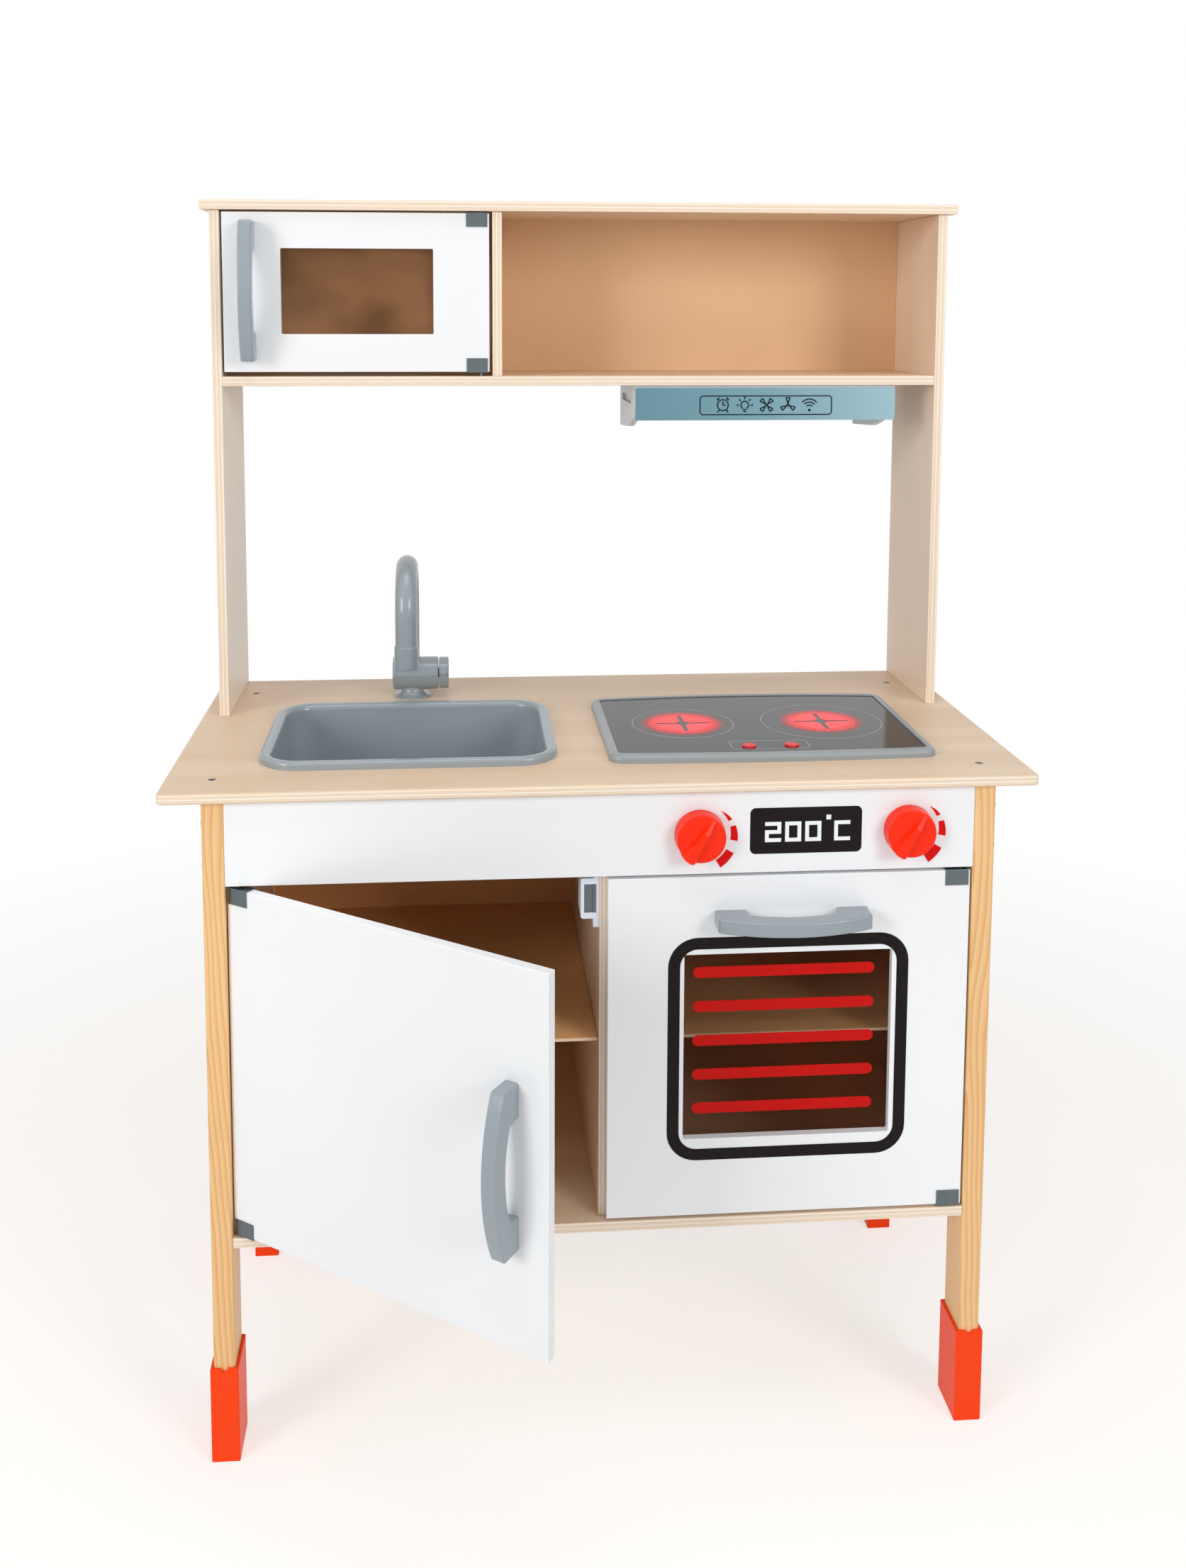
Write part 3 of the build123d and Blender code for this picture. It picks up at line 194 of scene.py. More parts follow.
def birch_plywood(name, grain, thickness, low, seed, pale):
    """Varnished birch ply: quiet flecked faces, and edges that show the thin lines between the layers. A
    share of the faces can be drawn paler as painted light.
    """
    finish = Finish(name, shade(230, 207, 182), 0.42, Specular_IOR_Level=0.35)
    broad = finish.noise(finish.place(stretched(grain, 1.6, 14), (seed, 0, 0)), 1.0, 2, 0.5, 0.6)
    streaks = finish.noise(finish.place(stretched(grain, 9, 190), (0, seed, 0)), 1.0, 3, 0.6)
    flecks = finish.noise(finish.place(stretched(grain, 60, 900), (0, 0, seed)), 1.0, 2, 0.7)
    ground = finish.ramp(broad, [(0.3, shade(226, 199, 170)), (0.52, shade(234, 209, 182)),
                                 (0.72, shade(240, 219, 195))])
    lined = finish.tint(streaks, 0.45, ground, shade(212, 180, 146))
    fleck = finish.ramp(flecks, [(0.60, BLACK), (0.72, WHITE)])
    face = finish.tint(fleck, 0.22, lined, shade(186, 148, 110))
    # Painted light: the faces drawn towards near-white by the given share, for light falling on the board
    face = finish.mix(pale, face, shade(250, 240, 228))
    offset = finish.maths("SUBTRACT", finish.parted()["XYZ".index(thickness)], low)
    wander = finish.maths("MULTIPLY", finish.noise(finish.place((30, 30, 30)), 1.0, 2, 0.5), 0.4 * MM)
    steps = finish.maths("MULTIPLY", finish.maths("ADD", offset, wander), LAYERS / BOARD)
    layers = finish.ramp(finish.maths("FRACT", steps), [
        (0, shade(250, 236, 220)), (0.40, shade(251, 238, 222)), (0.47, shade(206, 166, 128)),
        (0.54, shade(242, 222, 198)), (0.93, shade(238, 216, 190)), (1, shade(208, 170, 132))])
    grit = finish.noise(finish.place(), 900, 2, 0.6)
    dots = finish.ramp(grit, [(0.62, BLACK), (0.75, WHITE)])
    edge = finish.tint(dots, 0.35, layers, shade(178, 138, 100))
    finish.set("Base Color", finish.mix(finish.on_edge(thickness), face, edge))
    finish.vary_roughness(streaks, 0.34, 0.52)
    finish.bump(streaks, 0.00006)
    return finish.material


def pine(name, lean, seed):
    """Varnished pine: yellow wood whose orange late-wood lines run up the post and drift across it."""
    finish = Finish(name, shade(240, 196, 146), 0.36, Specular_IOR_Level=0.35)
    x, y, z = finish.parted()
    drift = finish.noise(finish.place((9, 9, 2.4), (seed, seed, seed)), 1.0, 2, 0.45)
    waves = finish.noise(finish.place((26, 26, 7), (0, seed, 0)), 1.0, 2, 0.5)
    across = finish.maths("MULTIPLY", x, 0.8)
    for part, share in ((y, 0.55), (z, lean), (drift, 0.055), (waves, 0.006)):
        across = finish.maths("ADD", across, finish.maths("MULTIPLY", part, share))
    ring = finish.maths("FRACT", finish.maths("MULTIPLY", finish.maths("ADD", across, 1), 270))
    lines = finish.ramp(ring, [(0, shade(246, 206, 152)), (0.4, shade(242, 198, 140)),
                               (0.8, shade(220, 160, 96)), (0.9, shade(216, 152, 88)),
                               (1, shade(246, 206, 152))])
    cloud = finish.noise(finish.place((12, 12, 3), (seed, 0, 0)), 1.0, 2, 0.5)
    tone = finish.ramp(cloud, [(0.3, shade(248, 206, 150)), (0.7, shade(234, 184, 126))])
    wood = finish.mix(0.45, lines, tone)
    fibre = finish.noise(finish.place((700, 700, 24)), 1.0, 2, 0.6)
    finish.set("Base Color", finish.tint(fibre, 0.16, wood, shade(200, 140, 84)))
    finish.bump(fibre, 0.00005)
    return finish.material


def hardboard(name, thickness, light, deep):
    """Thin brown board with a matt printed skin and paler sawn edges."""
    finish = Finish(name, light, 0.6, Specular_IOR_Level=0.15)
    broad = finish.noise(finish.place((5, 5, 5)), 1.0, 3, 0.5)
    speck = finish.noise(finish.place(), 700, 2, 0.6)
    ground = finish.ramp(broad, [(0.3, deep), (0.7, light)])
    skin = finish.tint(speck, 0.2, ground, dimmed(deep, 0.7))
    sawn = finish.tint(speck, 0.4, shade(246, 226, 200), shade(214, 182, 148))
    finish.set("Base Color", finish.mix(finish.on_edge(thickness), skin, sawn))
    finish.bump(speck, 0.00003)
    return finish.material


def lacquer(name):
    """White lacquer rolled over board: a faint orange peel and a slightly uneven sheen."""
    finish = Finish(name, shade(243, 245, 247), 0.3, Coat_Weight=0.12, Coat_Roughness=0.25)
    cloud = finish.noise(finish.place((3, 3, 3)), 1.0, 2, 0.5)
    finish.set("Base Color", finish.ramp(cloud, [(0.3, shade(240, 242, 244)), (0.7, shade(246, 248, 250))]))
    peel = finish.noise(finish.place(), 420, 2, 0.5)
    finish.vary_roughness(cloud, 0.26, 0.36)
    finish.bump(peel, 0.00003)
    return finish.material


def moulded(name, colour, dark, roughness, grain=900, depth=0.00002, **settings):
    """Moulded plastic: nearly even colour, with a faint flow pattern and a fine skin."""
    finish = Finish(name, colour, roughness, **settings)
    flow = finish.noise(finish.place((9, 9, 9)), 1.0, 2, 0.5, 0.8)
    finish.set("Base Color", finish.tint(flow, 0.35, colour, dark))
    skin = finish.noise(finish.place(), grain, 2, 0.5)
    finish.vary_roughness(flow, roughness * 0.85, roughness * 1.2)
    finish.bump(skin, depth)
    return finish.material


def metal(name, colour, roughness):
    """Rolled or plated steel with fine upright lines."""
    finish = Finish(name, colour, roughness, Metallic=1.0)
    streak = finish.noise(finish.place(stretched("Z", 30, 900)), 1.0, 3, 0.6)
    finish.set("Base Color", finish.mix(streak, colour, dimmed(colour, 0.72)))
    finish.vary_roughness(streak, roughness * 0.8, roughness * 1.3)
    finish.bump(streak, 0.00002)
    return finish.material


def printed(name, colour, roughness=0.4):
    """Screen-printed ink: an even colour with a faint mottle."""
    finish = Finish(name, colour, roughness, Specular_IOR_Level=0.12)
    mottle = finish.noise(finish.place(), 260, 2, 0.5)
    lighter = tuple(min(value * 1.15 + 0.004, 1) for value in colour[:3]) + (1,)
    finish.set("Base Color", finish.mix(mottle, colour, lighter))
    return finish.material


def smoky_sheet(name, body, cover, uneven):
    """Brown see-through sheet: so much of what is behind shows as the cover leaves free. Soft darker blotches
    on it are painted reflections, and uneven sets how dark they get.
    """
    finish = Finish(name, body, 0.08, Alpha=cover, Specular_IOR_Level=0.1)
    reflection_blotches = finish.noise(finish.place((11, 11, 14)), 1.0, 2, 0.5)
    # Painted reflection: soft blotches where the sheet's colour is darkened by the share uneven
    finish.set("Base Color", finish.ramp(reflection_blotches, [(0.35, dimmed(body, 1 - uneven)), (0.62, body)], "EASE"))
    finish.vary_roughness(reflection_blotches, 0.05, 0.16)
    return finish.material


def dark_sheet(name):
    """The hob's polished near-black panel."""
    finish = Finish(name, shade(38, 37, 40), 0.1, IOR=1.38)
    dust = finish.noise(finish.place(), 60, 3, 0.6)
    finish.set("Base Color", finish.ramp(dust, [(0.3, shade(30, 29, 32)), (0.7, shade(38, 37, 40))]))
    finish.vary_roughness(dust, 0.06, 0.14)
    return finish.material


def glowing(name, colour, strength):
    """A red lit area seen through the hob's panel."""
    finish = Finish(name, colour, 0.3, Emission_Color=colour, Emission_Strength=strength,
                    Specular_IOR_Level=0.2)
    cloud = finish.noise(finish.place(), 120, 2, 0.5)
    finish.set("Base Color", finish.tint(cloud, 0.4, colour, shade(200, 40, 50)))
    return finish.material


def hood_lacquer(name):
    """Metallic blue lacquer that runs from a deeper to a paler blue along the panel."""
    finish = Finish(name, shade(124, 168, 184), 0.34, Metallic=0.25, Coat_Weight=0.3, Coat_Roughness=0.15)
    low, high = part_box("hood_panel")
    run = finish.maths("DIVIDE", finish.maths("SUBTRACT", finish.parted()[0], low.x), high.x - low.x)
    tone = finish.ramp(run, [(0, shade(72, 124, 141)), (0.45, shade(92, 141, 157)),
                             (1, shade(138, 176, 187))])
    flakes = finish.noise(finish.place(), 2600, 1, 0.5)
    finish.set("Base Color", finish.tint(flakes, 0.18, tone, shade(210, 230, 236)))
    return finish.material


def halo_finish(name, x, y, inner, wide):
    """The red shine that fades outwards round a lit disc."""
    finish = Finish(name, shade(200, 20, 26), 0.3, Emission_Color=shade(250, 44, 52), Emission_Strength=0.55)
    middle = spot(x, y, HOB_TOP)
    side, back, _ = finish.parted()
    across = finish.maths("SUBTRACT", side, middle.x)
    along = finish.maths("SUBTRACT", back, middle.y)
    left_over = finish.maths("SUBTRACT", (inner + wide) * MM, finish.distance(across, along))
    fade = finish.maths("DIVIDE", left_over, wide * MM, clamp=True)
    finish.set("Alpha", finish.maths("MULTIPLY", finish.maths("POWER", fade, 1.6), 0.75))
    return finish.material


def dress(material, *names):
    """Gives CAD nodes their finish."""
    for name in names:
        mesh = nodes[name].data
        mesh.materials.clear()
        mesh.materials.append(material)
        for polygon in mesh.polygons:
            polygon.material_index = 0


# Each board's grain axis and thin axis, how much painted light makes some of them paler, and each leg's slant
# of the grain
BOARDS = {
    "worktop": ("X", "Z"), "hutch_shelf": ("X", "Z"), "hutch_top": ("X", "Z"), "cabinet_base": ("X", "Z"),
    "hutch_upright_left": ("Z", "X"), "hutch_upright_right": ("Z", "X"), "hutch_divider": ("Z", "X"),
    "cabinet_divider": ("Z", "X"), "side_panel_left": ("Z", "X"), "side_panel_right": ("Z", "X"),
}
# Painted light: the two uprights are drawn towards near-white, for the light falling on their faces
PAINTED_LIGHT = {"hutch_upright_left": 0.8, "hutch_upright_right": 0.25}
LEGS = {"leg_front_left": 0.016, "leg_front_right": -0.009, "leg_rear_left": 0.012, "leg_rear_right": 0.02}
BOARD_SEED, LEG_SEED = 1.7, 3.7

for index, (board_name, (grain_axis, thin_axis)) in enumerate(BOARDS.items()):
    board_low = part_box(board_name)[0]["XYZ".index(thin_axis)]
    board_finish = birch_plywood("birch_" + board_name, grain_axis, thin_axis, board_low,
                                 index * BOARD_SEED, PAINTED_LIGHT.get(board_name, 0.0))
    dress(board_finish, board_name)
for index, (leg_name, slant) in enumerate(LEGS.items()):
    dress(pine("pine_" + leg_name, slant, index * LEG_SEED), leg_name)
dress(pine("beech_pegs", 0.01, 2.1), "wooden_pegs")
dress(hardboard("brown_hutch_back", "Y", shade(238, 198, 158), shade(230, 187, 146)), "hutch_back")
# The cabinet back and the shelves are the hutch back's hardboard in a brighter, warmer brown: painted bounce
# light for the cabinet's shaded inside
dress(hardboard("brown_cabinet_back_painted_bounce", "Y", shade(250, 190, 130), shade(244, 180, 118)), "cabinet_back")
dress(hardboard("brown_shelves_painted_bounce", "Z", shade(252, 196, 138), shade(246, 186, 126)),
      "cupboard_shelf", "oven_shelf")
dress(lacquer("white_lacquer"), "control_panel", "cupboard_door", "oven_door", "microwave_door")
dress(moulded("orange_plastic", shade(254, 70, 8), shade(250, 58, 2), 0.36, 1200, 0.00003,
              Specular_IOR_Level=0.18),
      *[name for name in nodes if name.startswith("foot_sleeve")])
dress(moulded("red_plastic", shade(254, 44, 0), shade(250, 32, 0), 0.3, Specular_IOR_Level=0.22),
      "left_knob", "right_knob")
dress(moulded("grey_plastic", shade(152, 162, 168), shade(140, 151, 158), 0.17),
      "sink", "tap_body", "tap_spout", "tap_knob", "cupboard_handle", "oven_handle", "microwave_handle")
dress(moulded("light_grey_plastic", shade(150, 157, 160), shade(140, 147, 151), 0.34), "hob_frame")
dress(moulded("pale_grey_plastic", shade(200, 204, 208), shade(188, 192, 197), 0.4), "hood_body")
dress(hood_lacquer("hood_blue"), "hood_panel")
dress(dark_sheet("dark_panel"), "hob_glass")
dress(moulded("black_plastic", shade(34, 34, 36), shade(24, 24, 26), 0.5), "hob_housing", "battery_cover")
dress(glowing("red_button", shade(214, 40, 40), 0.1), "hob_button_left", "hob_button_right")
dress(moulded("white_plastic", shade(228, 234, 244), shade(212, 220, 234), 0.4), "magnetic_catches")
dress(moulded("green_board", shade(24, 96, 50), shade(16, 76, 38), 0.4), "hob_circuit_board")
dress(metal("battery_can", shade(120, 124, 132), 0.35), "batteries")
dress(metal("plated_steel", shade(112, 122, 126), 0.34), "frame_screws", "catch_magnets",
      *[name for name in nodes if name.endswith(("handle_screws", "hinge_clips", "strike_plate"))])
dress(smoky_sheet("oven_sheet", shade(96, 40, 16), 0.13, 0.5), "oven_window")
# The microwave's sheet is a much paler brown than the oven's: painted light for the lit inside seen through
# it
dress(smoky_sheet("microwave_sheet_painted_light", shade(176, 124, 84), 0.3, 0.5), "microwave_window")

white_ink = printed("white_ink", shade(236, 240, 244))
black_ink = printed("black_ink", shade(22, 14, 14), 0.3)
red_ink = printed("red_ink", shade(218, 2, 0))
bar_ink = printed("bar_ink", shade(196, 8, 0), 0.3)
icon_ink = printed("icon_ink", shade(10, 22, 28))
seam_line = printed("seam_line", shade(84, 92, 98))
fine_line = printed("fine_grey_line", shade(178, 176, 180), 0.3)
glow = glowing("hob_glow", shade(244, 62, 66), 0.35)


def finished(mesh, name, material, body, smooth=True):
    """Turns a bmesh into a piece that rides on a body."""
    bmesh.ops.remove_doubles(mesh, verts=mesh.verts, dist=1e-6)
    bmesh.ops.recalc_face_normals(mesh, faces=mesh.faces)
    data = bpy.data.meshes.new(name)
    mesh.to_mesh(data)
    mesh.free()
    data.materials.append(material)
    if smooth:
        data.shade_smooth()
        data.set_sharp_from_angle(angle=math.radians(35))
    piece = bpy.data.objects.new(name, data)
    bpy.context.scene.collection.objects.link(piece)
    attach(piece, body)


def front_plane(x, y, z):
    """A plane that looks forwards: u to the right, v up, its normal away from the kitchen."""
    turned = Matrix(((1, 0, 0), (0, 0, -1), (0, 1, 0))).to_4x4()
    return Matrix.Translation(spot(x, y, z)) @ turned


def top_plane(x, y, z):
    """A plane that looks up: u to the right, v to the rear."""
    return Matrix.Translation(spot(x, y, z))


def outline_corners(mesh, points, plane):
    """The corners of an outline of (u, v) points in millimetres, laid on a plane."""
    return [mesh.verts.new(plane @ Vector((u * MM, v * MM, 0))) for u, v in points]


def thicken(mesh, faces, thickness, plane):
    """Gives flat faces a thickness in millimetres along the plane's normal."""
    grown = bmesh.ops.extrude_face_region(mesh, geom=faces)
    lift = plane.to_3x3() @ Vector((0, 0, thickness * MM))
    moved = [item for item in grown["geom"] if isinstance(item, bmesh.types.BMVert)]
    bmesh.ops.translate(mesh, verts=moved, vec=lift)


def flat_shape(mesh, points, thickness, plane):
    """Adds a thin plate with a closed outline."""
    thicken(mesh, [mesh.faces.new(outline_corners(mesh, points, plane))], thickness, plane)


def ring_between(mesh, outer, inner, thickness, plane):
    """Adds a thin ring between two outlines with as many points each."""
    outside = outline_corners(mesh, outer, plane)
    inside = outline_corners(mesh, inner, plane)
    faces = []
    for index in range(len(outside)):
        following = (index + 1) % len(outside)
        corners = (outside[index], outside[following], inside[following], inside[index])
        faces.append(mesh.faces.new(corners))
    thicken(mesh, faces, thickness, plane)


def polar(radius, angle):
    """The point at a radius and at an angle in degrees."""
    return radius * math.cos(math.radians(angle)), radius * math.sin(math.radians(angle))


def arc(radius, start, end, steps):
    """The points of an arc from one angle to another, with both ends."""
    return [polar(radius, start + (end - start) * step / steps) for step in range(steps + 1)]


def circle(radius, steps=64):
    """The points of a closed circle."""
    return arc(radius, 0, 360, steps)[:-1]


def rectangle(left, low, right, high):
    """The corner points of a rectangle, anticlockwise."""
    return [(left, low), (right, low), (right, high), (left, high)]


def rounded_outline(half_wide, half_tall, radius, steps=6):
    """The points of a rounded rectangle round the middle, anticlockwise."""
    u, v = half_wide - radius, half_tall - radius
    points = []
    for centre_u, centre_v, start in ((u, v, 0), (-u, v, 90), (-u, -v, 180), (u, -v, 270)):
        points += [(centre_u + du, centre_v + dv) for du, dv in arc(radius, start, start + 90, steps)]
    return points


def rounded_border(mesh, half_wide, half_tall, radius, width, thickness, plane, steps=6):
    """Adds a border of one width, whose outer edge is a rounded rectangle."""
    outer = rounded_outline(half_wide, half_tall, radius, steps)
    inner = rounded_outline(half_wide - width, half_tall - width, radius - width, steps)
    ring_between(mesh, outer, inner, thickness, plane)


def line(mesh, start, end, plane):
    """A straight stroke between two points of a plane."""
    run = Vector((end[0] - start[0], end[1] - start[1]))
    side = Vector((-run.y, run.x)).normalized() * STROKE / 2
    corners = []
    for point, way in ((start, -1), (end, -1), (end, 1), (start, 1)):
        corners.append((point[0] + way * side.x, point[1] + way * side.y))
    flat_shape(mesh, corners, INK, plane)


def band(mesh, radius, start, end, plane):
    """A curved stroke round the middle of a plane."""
    steps = 12
    outline = arc(radius + STROKE / 2, start, end, steps) + arc(radius - STROKE / 2, end, start, steps)
    flat_shape(mesh, outline, INK, plane)


def spot_of_ink(mesh, x, y, across, tall, turn, plane):
    """A printed oval."""
    outline = []
    for u, v in circle(1, 20):
        u, v = u * across / 2, v * tall / 2
        turned_u = u * math.cos(turn) - v * math.sin(turn)
        turned_v = u * math.sin(turn) + v * math.cos(turn)
        outline.append((x + turned_u, y + turned_v))
    flat_shape(mesh, outline, INK, plane)


def display():
    """The clock panel: a black plate with block digits in white."""
    middle_x, middle_z = 165.75, 532.5
    half_wide, half_tall, corner = 46.75, 19.5, 4.6
    wide, tall, bar = 13.5, 17, 3.2
    first_left, low, pitch, dot_room = -34.4, -9.5, 16.8, 7.5
    dot_left, dot_low, dot_size = 16.8, 8.6, 4
    plate = bmesh.new()
    plane = front_plane(middle_x, PANEL_FRONT, middle_z)
    flat_shape(plate, rounded_outline(half_wide, half_tall, corner), INK, plane)
    finished(plate, "display_plate", black_ink, "frame")
    strokes = {
        "2": ("top", "upper_right", "middle", "lower_left", "bottom"),
        "0": ("top", "upper_left", "upper_right", "lower_left", "lower_right", "bottom"),
        "C": ("top", "upper_left", "lower_left", "bottom"),
    }
    boxes = {
        "top": (0, tall - bar, wide, tall), "middle": (0, (tall - bar) / 2, wide, (tall + bar) / 2),
        "bottom": (0, 0, wide, bar), "upper_left": (0, tall / 2, bar, tall),
        "lower_left": (0, 0, bar, tall / 2), "upper_right": (wide - bar, tall / 2, wide, tall),
        "lower_right": (wide - bar, 0, wide, tall / 2),
    }
    digits = bmesh.new()
    on_plate = front_plane(middle_x, PANEL_FRONT - INK, middle_z)
    for index, character in enumerate("200C"):
        left = first_left + index * pitch + (dot_room if character == "C" else 0)
        for layer, stroke in enumerate(strokes[character]):
            x0, y0, x1, y1 = boxes[stroke]
            outline = rectangle(left + x0, low + y0, left + x1, low + y1)
            flat_shape(digits, outline, FINE_INK + INK * 0.05 * layer, on_plate)
    dot = rectangle(dot_left, dot_low, dot_left + dot_size, dot_low + dot_size)
    flat_shape(digits, dot, FINE_INK, on_plate)
    finished(digits, "display_digits", white_ink, "frame", smooth=False)


def heat_marks(name, knob_x):
    """Three red wedges round a knob that grow as the oven gets hotter, quickly at first and then slowly."""
    inner, thickest, zero_angle, spread = 26, 8.5, 48.3, 45
    steps = 8
    marks = bmesh.new()
    plane = front_plane(knob_x, PANEL_FRONT, KNOB_HEIGHT)
    for start, end in ((48, 24), (13, -11.5), (-30.5, -58.5)):
        outline = []
        for step in range(steps + 1):
            angle = start + (end - start) * step / steps
            thick = thickest * (1 - math.exp((angle - zero_angle) / spread))
            outline.append(polar(inner + thick, angle))
        outline += arc(inner, end, start, steps)
        flat_shape(marks, outline[::-1], INK, plane)
    finished(marks, name, red_ink, "frame", smooth=False)


def oven_prints():
    """The black border round the oven's window and the five heating bars on its pane."""
    border_x, border_z, half_wide, half_tall, corner, width = 153.5, 345.25, 101.5, 97.25, 25, 10
    bar_x, bar_half_wide, bar_half_tall, bar_corner = 151, 77, 4.8, 4.7
    border = bmesh.new()
    plane = front_plane(border_x, DOOR_FRONT, border_z)
    rounded_border(border, half_wide, half_tall, corner, width, INK, plane, steps=8)
    finished(border, "oven_window_border", black_ink, "oven_door_swing")
    pane_front = (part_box("oven_window")[0].y - WORKTOP_LOW.y) / MM
    bars = bmesh.new()
    for bar_z in (409.5, 379.75, 350, 320.25, 290.5):
        outline = rounded_outline(bar_half_wide, bar_half_tall, bar_corner)
        flat_shape(bars, outline, INK, front_plane(bar_x, pane_front, bar_z))
    finished(bars, "oven_heating_bars", bar_ink, "oven_door_swing")


def burner(name, x, y, outer_ring):
    """A lit burner: a disc cut in four by a cross round a dark hub, its shine, and two fine rings."""
    gap, hub, disc, shine = 1.9, 6, 25, 15
    inner_ring, half_line = 30, 0.3
    clear = 0.1
    steps = 16
    plane = top_plane(x, y, HOB_TOP)
    hub_start, disc_start = (math.degrees(math.asin(gap / radius)) for radius in (hub, disc))
    quarter = arc(hub, 90 - hub_start, hub_start, steps) + arc(disc, disc_start, 90 - disc_start, steps)
    lights = bmesh.new()
    for turns in range(4):
        flat_shape(lights, quarter, INK, plane @ Matrix.Rotation(math.radians(90 * turns), 4, "Z"))
    finished(lights, name + "_disc", glow, "frame", smooth=False)
    halo = bmesh.new()
    above = top_plane(x, y, HOB_TOP + clear)
    ring_between(halo, circle(disc + shine), circle(disc + clear), INK * 0.3, above)
    halo_red = halo_finish(name + "_halo", x, y, disc, shine)
    finished(halo, name + "_halo", halo_red, "frame", smooth=False)
    rings = bmesh.new()
    for middle in (inner_ring, outer_ring):
        ring_between(rings, circle(middle + half_line), circle(middle - half_line), FINE_INK, plane)
    finished(rings, name + "_rings", fine_line, "frame", smooth=False)


def button_outline():
    """The printed box round the two hob buttons."""
    middle_x, middle_y, half_wide, half_tall, corner, width = 150, 81.2, 34.3, 12.2, 5, 0.6
    lines = bmesh.new()
    plane = top_plane(middle_x, middle_y, HOB_TOP)
    rounded_border(lines, half_wide, half_tall, corner, width, FINE_INK, plane)
    finished(lines, "hob_button_outline", fine_line, "frame", smooth=False)


def clock_icon(mesh, plane):
    """An alarm clock: a dial with two hands, two bells and two feet."""
    band(mesh, 3.9, 0, WHOLE_TURN, plane)
    line(mesh, (0, 0), (0, 2.6), plane)
    line(mesh, (0, 0), (1.9, 0), plane)
    for way in (-1, 1):
        spot_of_ink(mesh, way * 3.3, 4.3, 2.6, 1.3, way * math.radians(-40), plane)
        line(mesh, (way * 2.6, -3.4), (way * 3.8, -5.2), plane)


def lamp_icon(mesh, plane):
    """A lamp: an open bulb, its base and five rays."""
    band(mesh, 2.7, -60, 240, plane)
    line(mesh, (-1.3, -3.2), (1.3, -3.2), plane)
    line(mesh, (-0.9, -4.6), (0.9, -4.6), plane)
    for angle in (0, 45, 90, 135, 180):
        line(mesh, polar(4.1, angle), polar(5.9, angle), plane)


def fan_icon(mesh, blades, first_angle, plane):
    """A fan: a hub with outlined blades."""
    band(mesh, 0.8, 0, WHOLE_TURN, plane)
    for blade in range(blades):
        angle = first_angle + 360 * blade / blades
        for lean in (-24, 24):
            line(mesh, polar(1.4, angle), polar(5.2, angle + lean / 1.5), plane)
        band(mesh, 5.2, angle - 16, angle + 16, plane)


def hood_print():
    """The print on the hood: an outlined strip with a clock, a lamp, two fans and a heat sign."""
    strip_x, strip_z, half_wide, half_tall, corner, width = 172.5, 869.2, 63.6, 9.3, 3.5, 1
    clock_x, lamp_x, cross_fan_x, fan_x, heat_x = 131.2, 152.1, 173, 193.6, 214.3
    icon_z = 869.4
    heat_drop = 3.6
    front = (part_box("hood_panel")[0].y - WORKTOP_LOW.y) / MM
    larger = Matrix.Scale(1.35, 4)
    signs = bmesh.new()
    strip = front_plane(strip_x, front, strip_z)
    rounded_border(signs, half_wide, half_tall, corner, width, INK, strip)
    clock_icon(signs, front_plane(clock_x, front, icon_z) @ larger)
    lamp_icon(signs, front_plane(lamp_x, front, icon_z) @ larger)
    fan_icon(signs, 4, 45, front_plane(cross_fan_x, front, icon_z) @ larger)
    fan_icon(signs, 3, 90, front_plane(fan_x, front, icon_z) @ larger)
    spot_of_ink(signs, 0, -heat_drop, 1.9, 1.9, 0, front_plane(heat_x, front, icon_z) @ larger)
    for radius in (2.6, 4.7, 6.8):
        band(signs, radius, 40, 140, front_plane(heat_x, front, icon_z - heat_drop) @ larger)
    finished(signs, "hood_print", icon_ink, "frame", smooth=False)


def spout_seam():
    """The fine mould line down the front of the swan neck."""
    neck_x, neck_y, crown, bend = -168, 249, 673.25, 51.25
    half_wide, half_deep = 0.3, 0.1
    sweep = 78
    centre = spot(neck_x, neck_y, crown - bend)
    mesh = bmesh.new()
    section = []
    for side, rise in rectangle(-half_wide, -half_deep, half_wide, half_deep):
        section.append(mesh.verts.new(centre + Vector((side * MM, 0, (bend + rise) * MM))))
    start = mesh.faces.new(section)
    bmesh.ops.spin(mesh, geom=[start] + list(start.edges) + section, cent=centre, axis=(1, 0, 0),
                   angle=math.radians(sweep), steps=24)
    finished(mesh, "spout_seam", seam_line, "tap_spout_turn")


display()
hood_print()
spout_seam()
heat_marks("left_heat_marks", 77)
heat_marks("right_heat_marks", 252)
oven_prints()
burner("burner_left", 84.3, 152, 46)
burner("burner_right", 212.3, 150.5, 55)
button_outline()


def seen_or_lighting(tree):
    """A value that is 1 where a surface is seen or mirrored, and 0 where it only gives light."""
    path = tree.nodes.new("ShaderNodeLightPath")
    value = path.outputs["Is Camera Ray"]
    for ray in ("Is Glossy Ray", "Is Transmission Ray"):
        most = tree.nodes.new("ShaderNodeMath")
        most.operation = "MAXIMUM"
        tree.links.new(value, most.inputs[0])
        tree.links.new(path.outputs[ray], most.inputs[1])
        value = most.outputs["Value"]
    return value


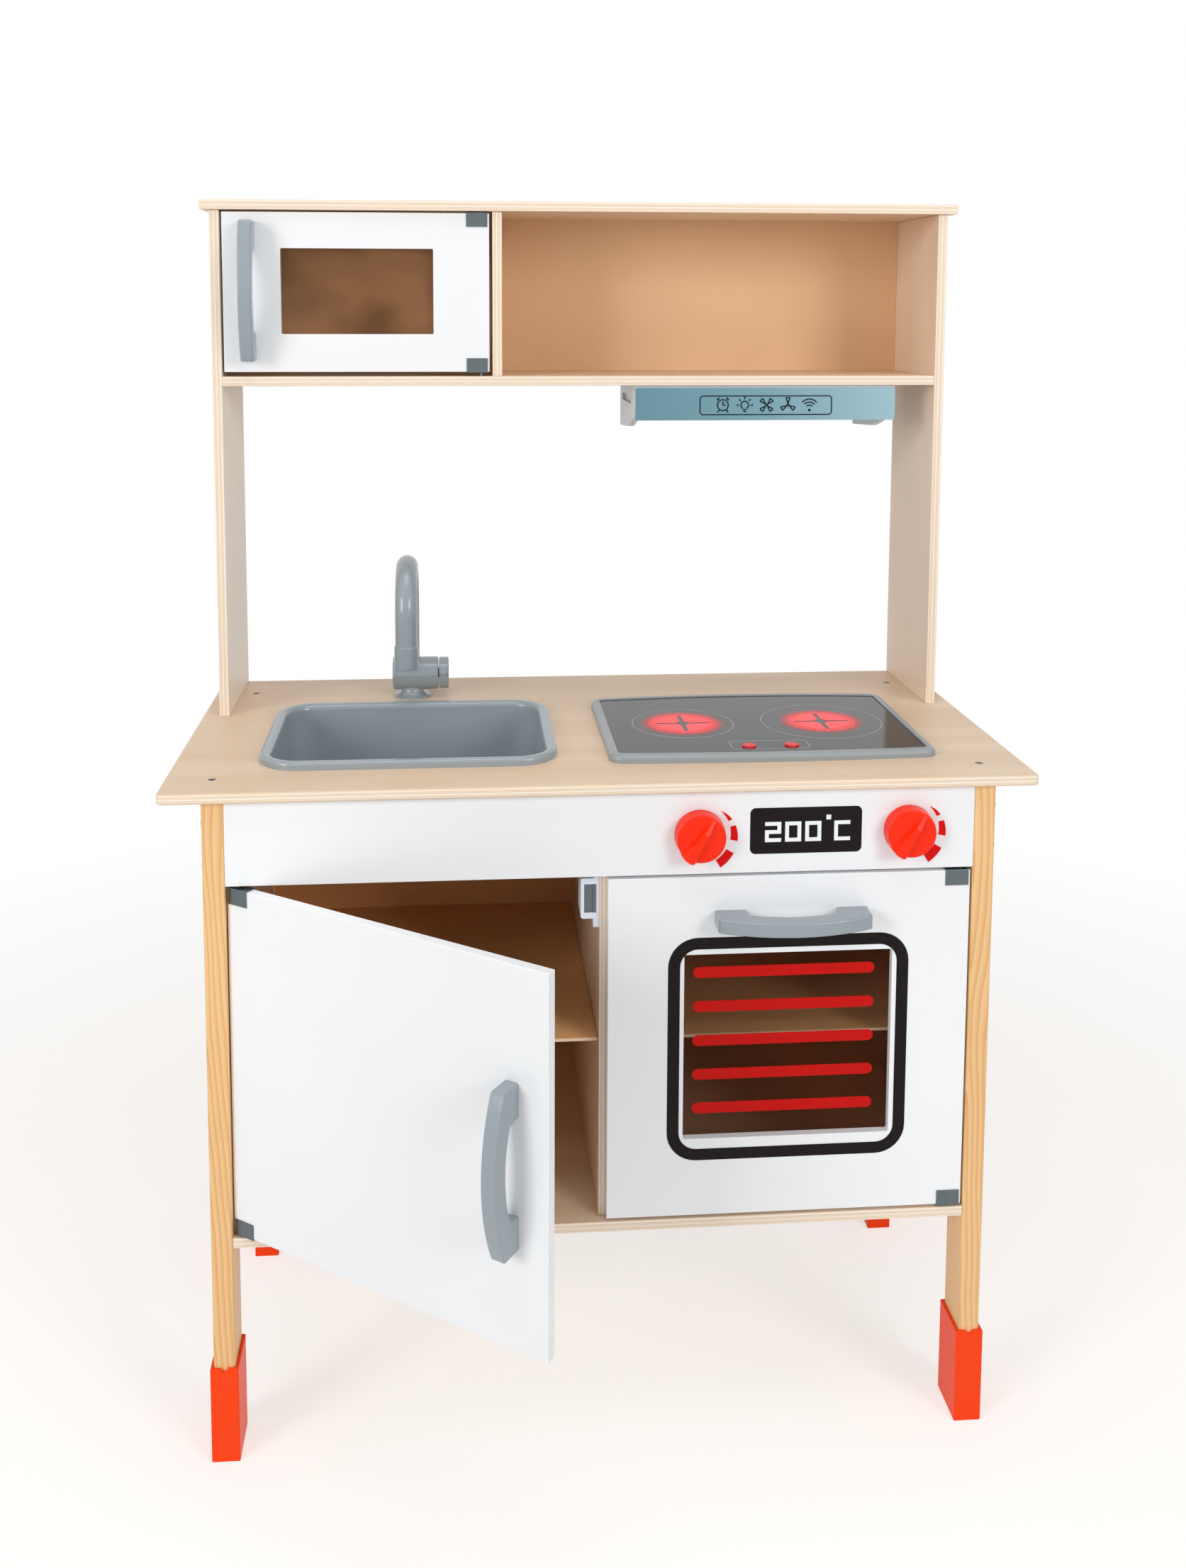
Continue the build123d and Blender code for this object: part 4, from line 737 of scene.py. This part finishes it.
def stage():
    """A pale floor: its shadows show, and it fades to plain white further away."""
    floor_size, near_reach, fade_reach = 9, 0.75, 0.8
    mesh = bmesh.new()
    bmesh.ops.create_grid(mesh, x_segments=1, y_segments=1, size=floor_size)
    data = bpy.data.meshes.new("floor")
    mesh.to_mesh(data)
    mesh.free()
    floor = bpy.data.objects.new("floor", data)
    bpy.context.scene.collection.objects.link(floor)
    paint = Finish("pale_floor", (0.86, 0.86, 0.86, 1), 0.9)
    tree = paint.tree
    x, y, _ = paint.parted()
    beyond = paint.maths("SUBTRACT", paint.distance(x, y), near_reach)
    far = paint.maths("DIVIDE", beyond, fade_reach, clamp=True)
    lit = paint.add("BsdfDiffuse")
    lit.inputs["Color"].default_value = (0.50, 0.485, 0.47, 1)
    shine = paint.add("Emission")
    shine.inputs["Color"].default_value = (1, 0.985, 0.97, 1)
    shine.inputs["Strength"].default_value = 0.60
    near = paint.add("AddShader")
    paint.join(lit.outputs["BSDF"], near.inputs[0])
    paint.join(shine.outputs["Emission"], near.inputs[1])
    white = paint.add("Emission")
    white.inputs["Color"].default_value = WHITE
    faded = paint.add("MixShader")
    paint.join(far, faded.inputs["Fac"])
    paint.join(near.outputs["Shader"], faded.inputs[1])
    paint.join(white.outputs["Emission"], faded.inputs[2])
    shown = paint.add("MixShader")
    paint.join(seen_or_lighting(tree), shown.inputs["Fac"])
    paint.join(paint.shader.outputs["BSDF"], shown.inputs[1])
    paint.join(faded.outputs["Shader"], shown.inputs[2])
    paint.join(shown.outputs["Shader"], tree.nodes["Material Output"].inputs["Surface"])
    data.materials.append(paint.material)


def white_world():
    """Soft white surroundings: seen as plain white, and lighting the object gently."""
    lighting_strength, seen_strength = 0.36, 1.0
    world = bpy.data.worlds.new("studio")
    world.use_nodes = True
    bpy.context.scene.world = world
    tree = world.node_tree
    ground = tree.nodes["Background"]
    ground.inputs["Color"].default_value = WHITE
    ground.inputs["Strength"].default_value = lighting_strength
    seen = tree.nodes.new("ShaderNodeBackground")
    seen.inputs["Color"].default_value = WHITE
    seen.inputs["Strength"].default_value = seen_strength
    blend = tree.nodes.new("ShaderNodeMixShader")
    tree.links.new(seen_or_lighting(tree), blend.inputs["Fac"])
    tree.links.new(ground.outputs["Background"], blend.inputs[1])
    tree.links.new(seen.outputs["Background"], blend.inputs[2])
    tree.links.new(blend.outputs["Shader"], tree.nodes["World Output"].inputs["Surface"])


def softbox(name, place, target, width, height, watts):
    """A large soft lamp that looks at a point."""
    data = bpy.data.lights.new(name, "AREA")
    data.shape = "RECTANGLE"
    data.size = width
    data.size_y = height
    data.energy = watts
    lamp = bpy.data.objects.new(name, data)
    lamp.location = place
    lamp.rotation_euler = (Vector(target) - Vector(place)).to_track_quat("-Z", "Y").to_euler()
    bpy.context.scene.collection.objects.link(lamp)


def photo_camera():
    """The photograph's viewpoint, from the camera's place and turn and the principal point in pixels."""
    photo_width, photo_height = 1673, 2212
    focal, centre_x, centre_y = 2100.67, 804.32, 650.0
    place = spot(-120.81, -1165.08, 962.65)
    yaw, pitch, roll = (math.radians(angle) for angle in (4.4103, -5.9469, 0.1325))
    ahead = Vector((math.sin(yaw) * math.cos(pitch), math.cos(yaw) * math.cos(pitch), math.sin(pitch)))
    right = Vector((math.cos(yaw), -math.sin(yaw), 0))
    up = right.cross(ahead)
    level_right = right * math.cos(roll) + up * math.sin(roll)
    level_up = up * math.cos(roll) - right * math.sin(roll)
    turn = Matrix((level_right, level_up, -ahead)).transposed()
    data = bpy.data.cameras.new("camera")
    data.sensor_fit = "AUTO"
    data.sensor_width = 36
    data.lens = focal / photo_height * data.sensor_width
    data.shift_x = (photo_width / 2 - centre_x) / photo_height
    data.shift_y = (centre_y - photo_height / 2) / photo_height
    camera = bpy.data.objects.new("camera", data)
    camera.matrix_world = Matrix.Translation(place) @ turn.to_4x4()
    bpy.context.scene.collection.objects.link(camera)
    bpy.context.scene.camera = camera


stage()
white_world()
softbox("left_box", (-2.6, -2.2, 1.6), (0, 0, 0.65), width=1.2, height=1.4, watts=47)
softbox("right_box", (2.1, -2.7, 1.8), (0, 0, 0.75), width=1.2, height=1.4, watts=40)
softbox("top_box", (0, -0.3, 3.0), (0, 0, 0.5), width=1.6, height=1.6, watts=21)
photo_camera()
bpy.context.scene.view_settings.view_transform = "Standard"
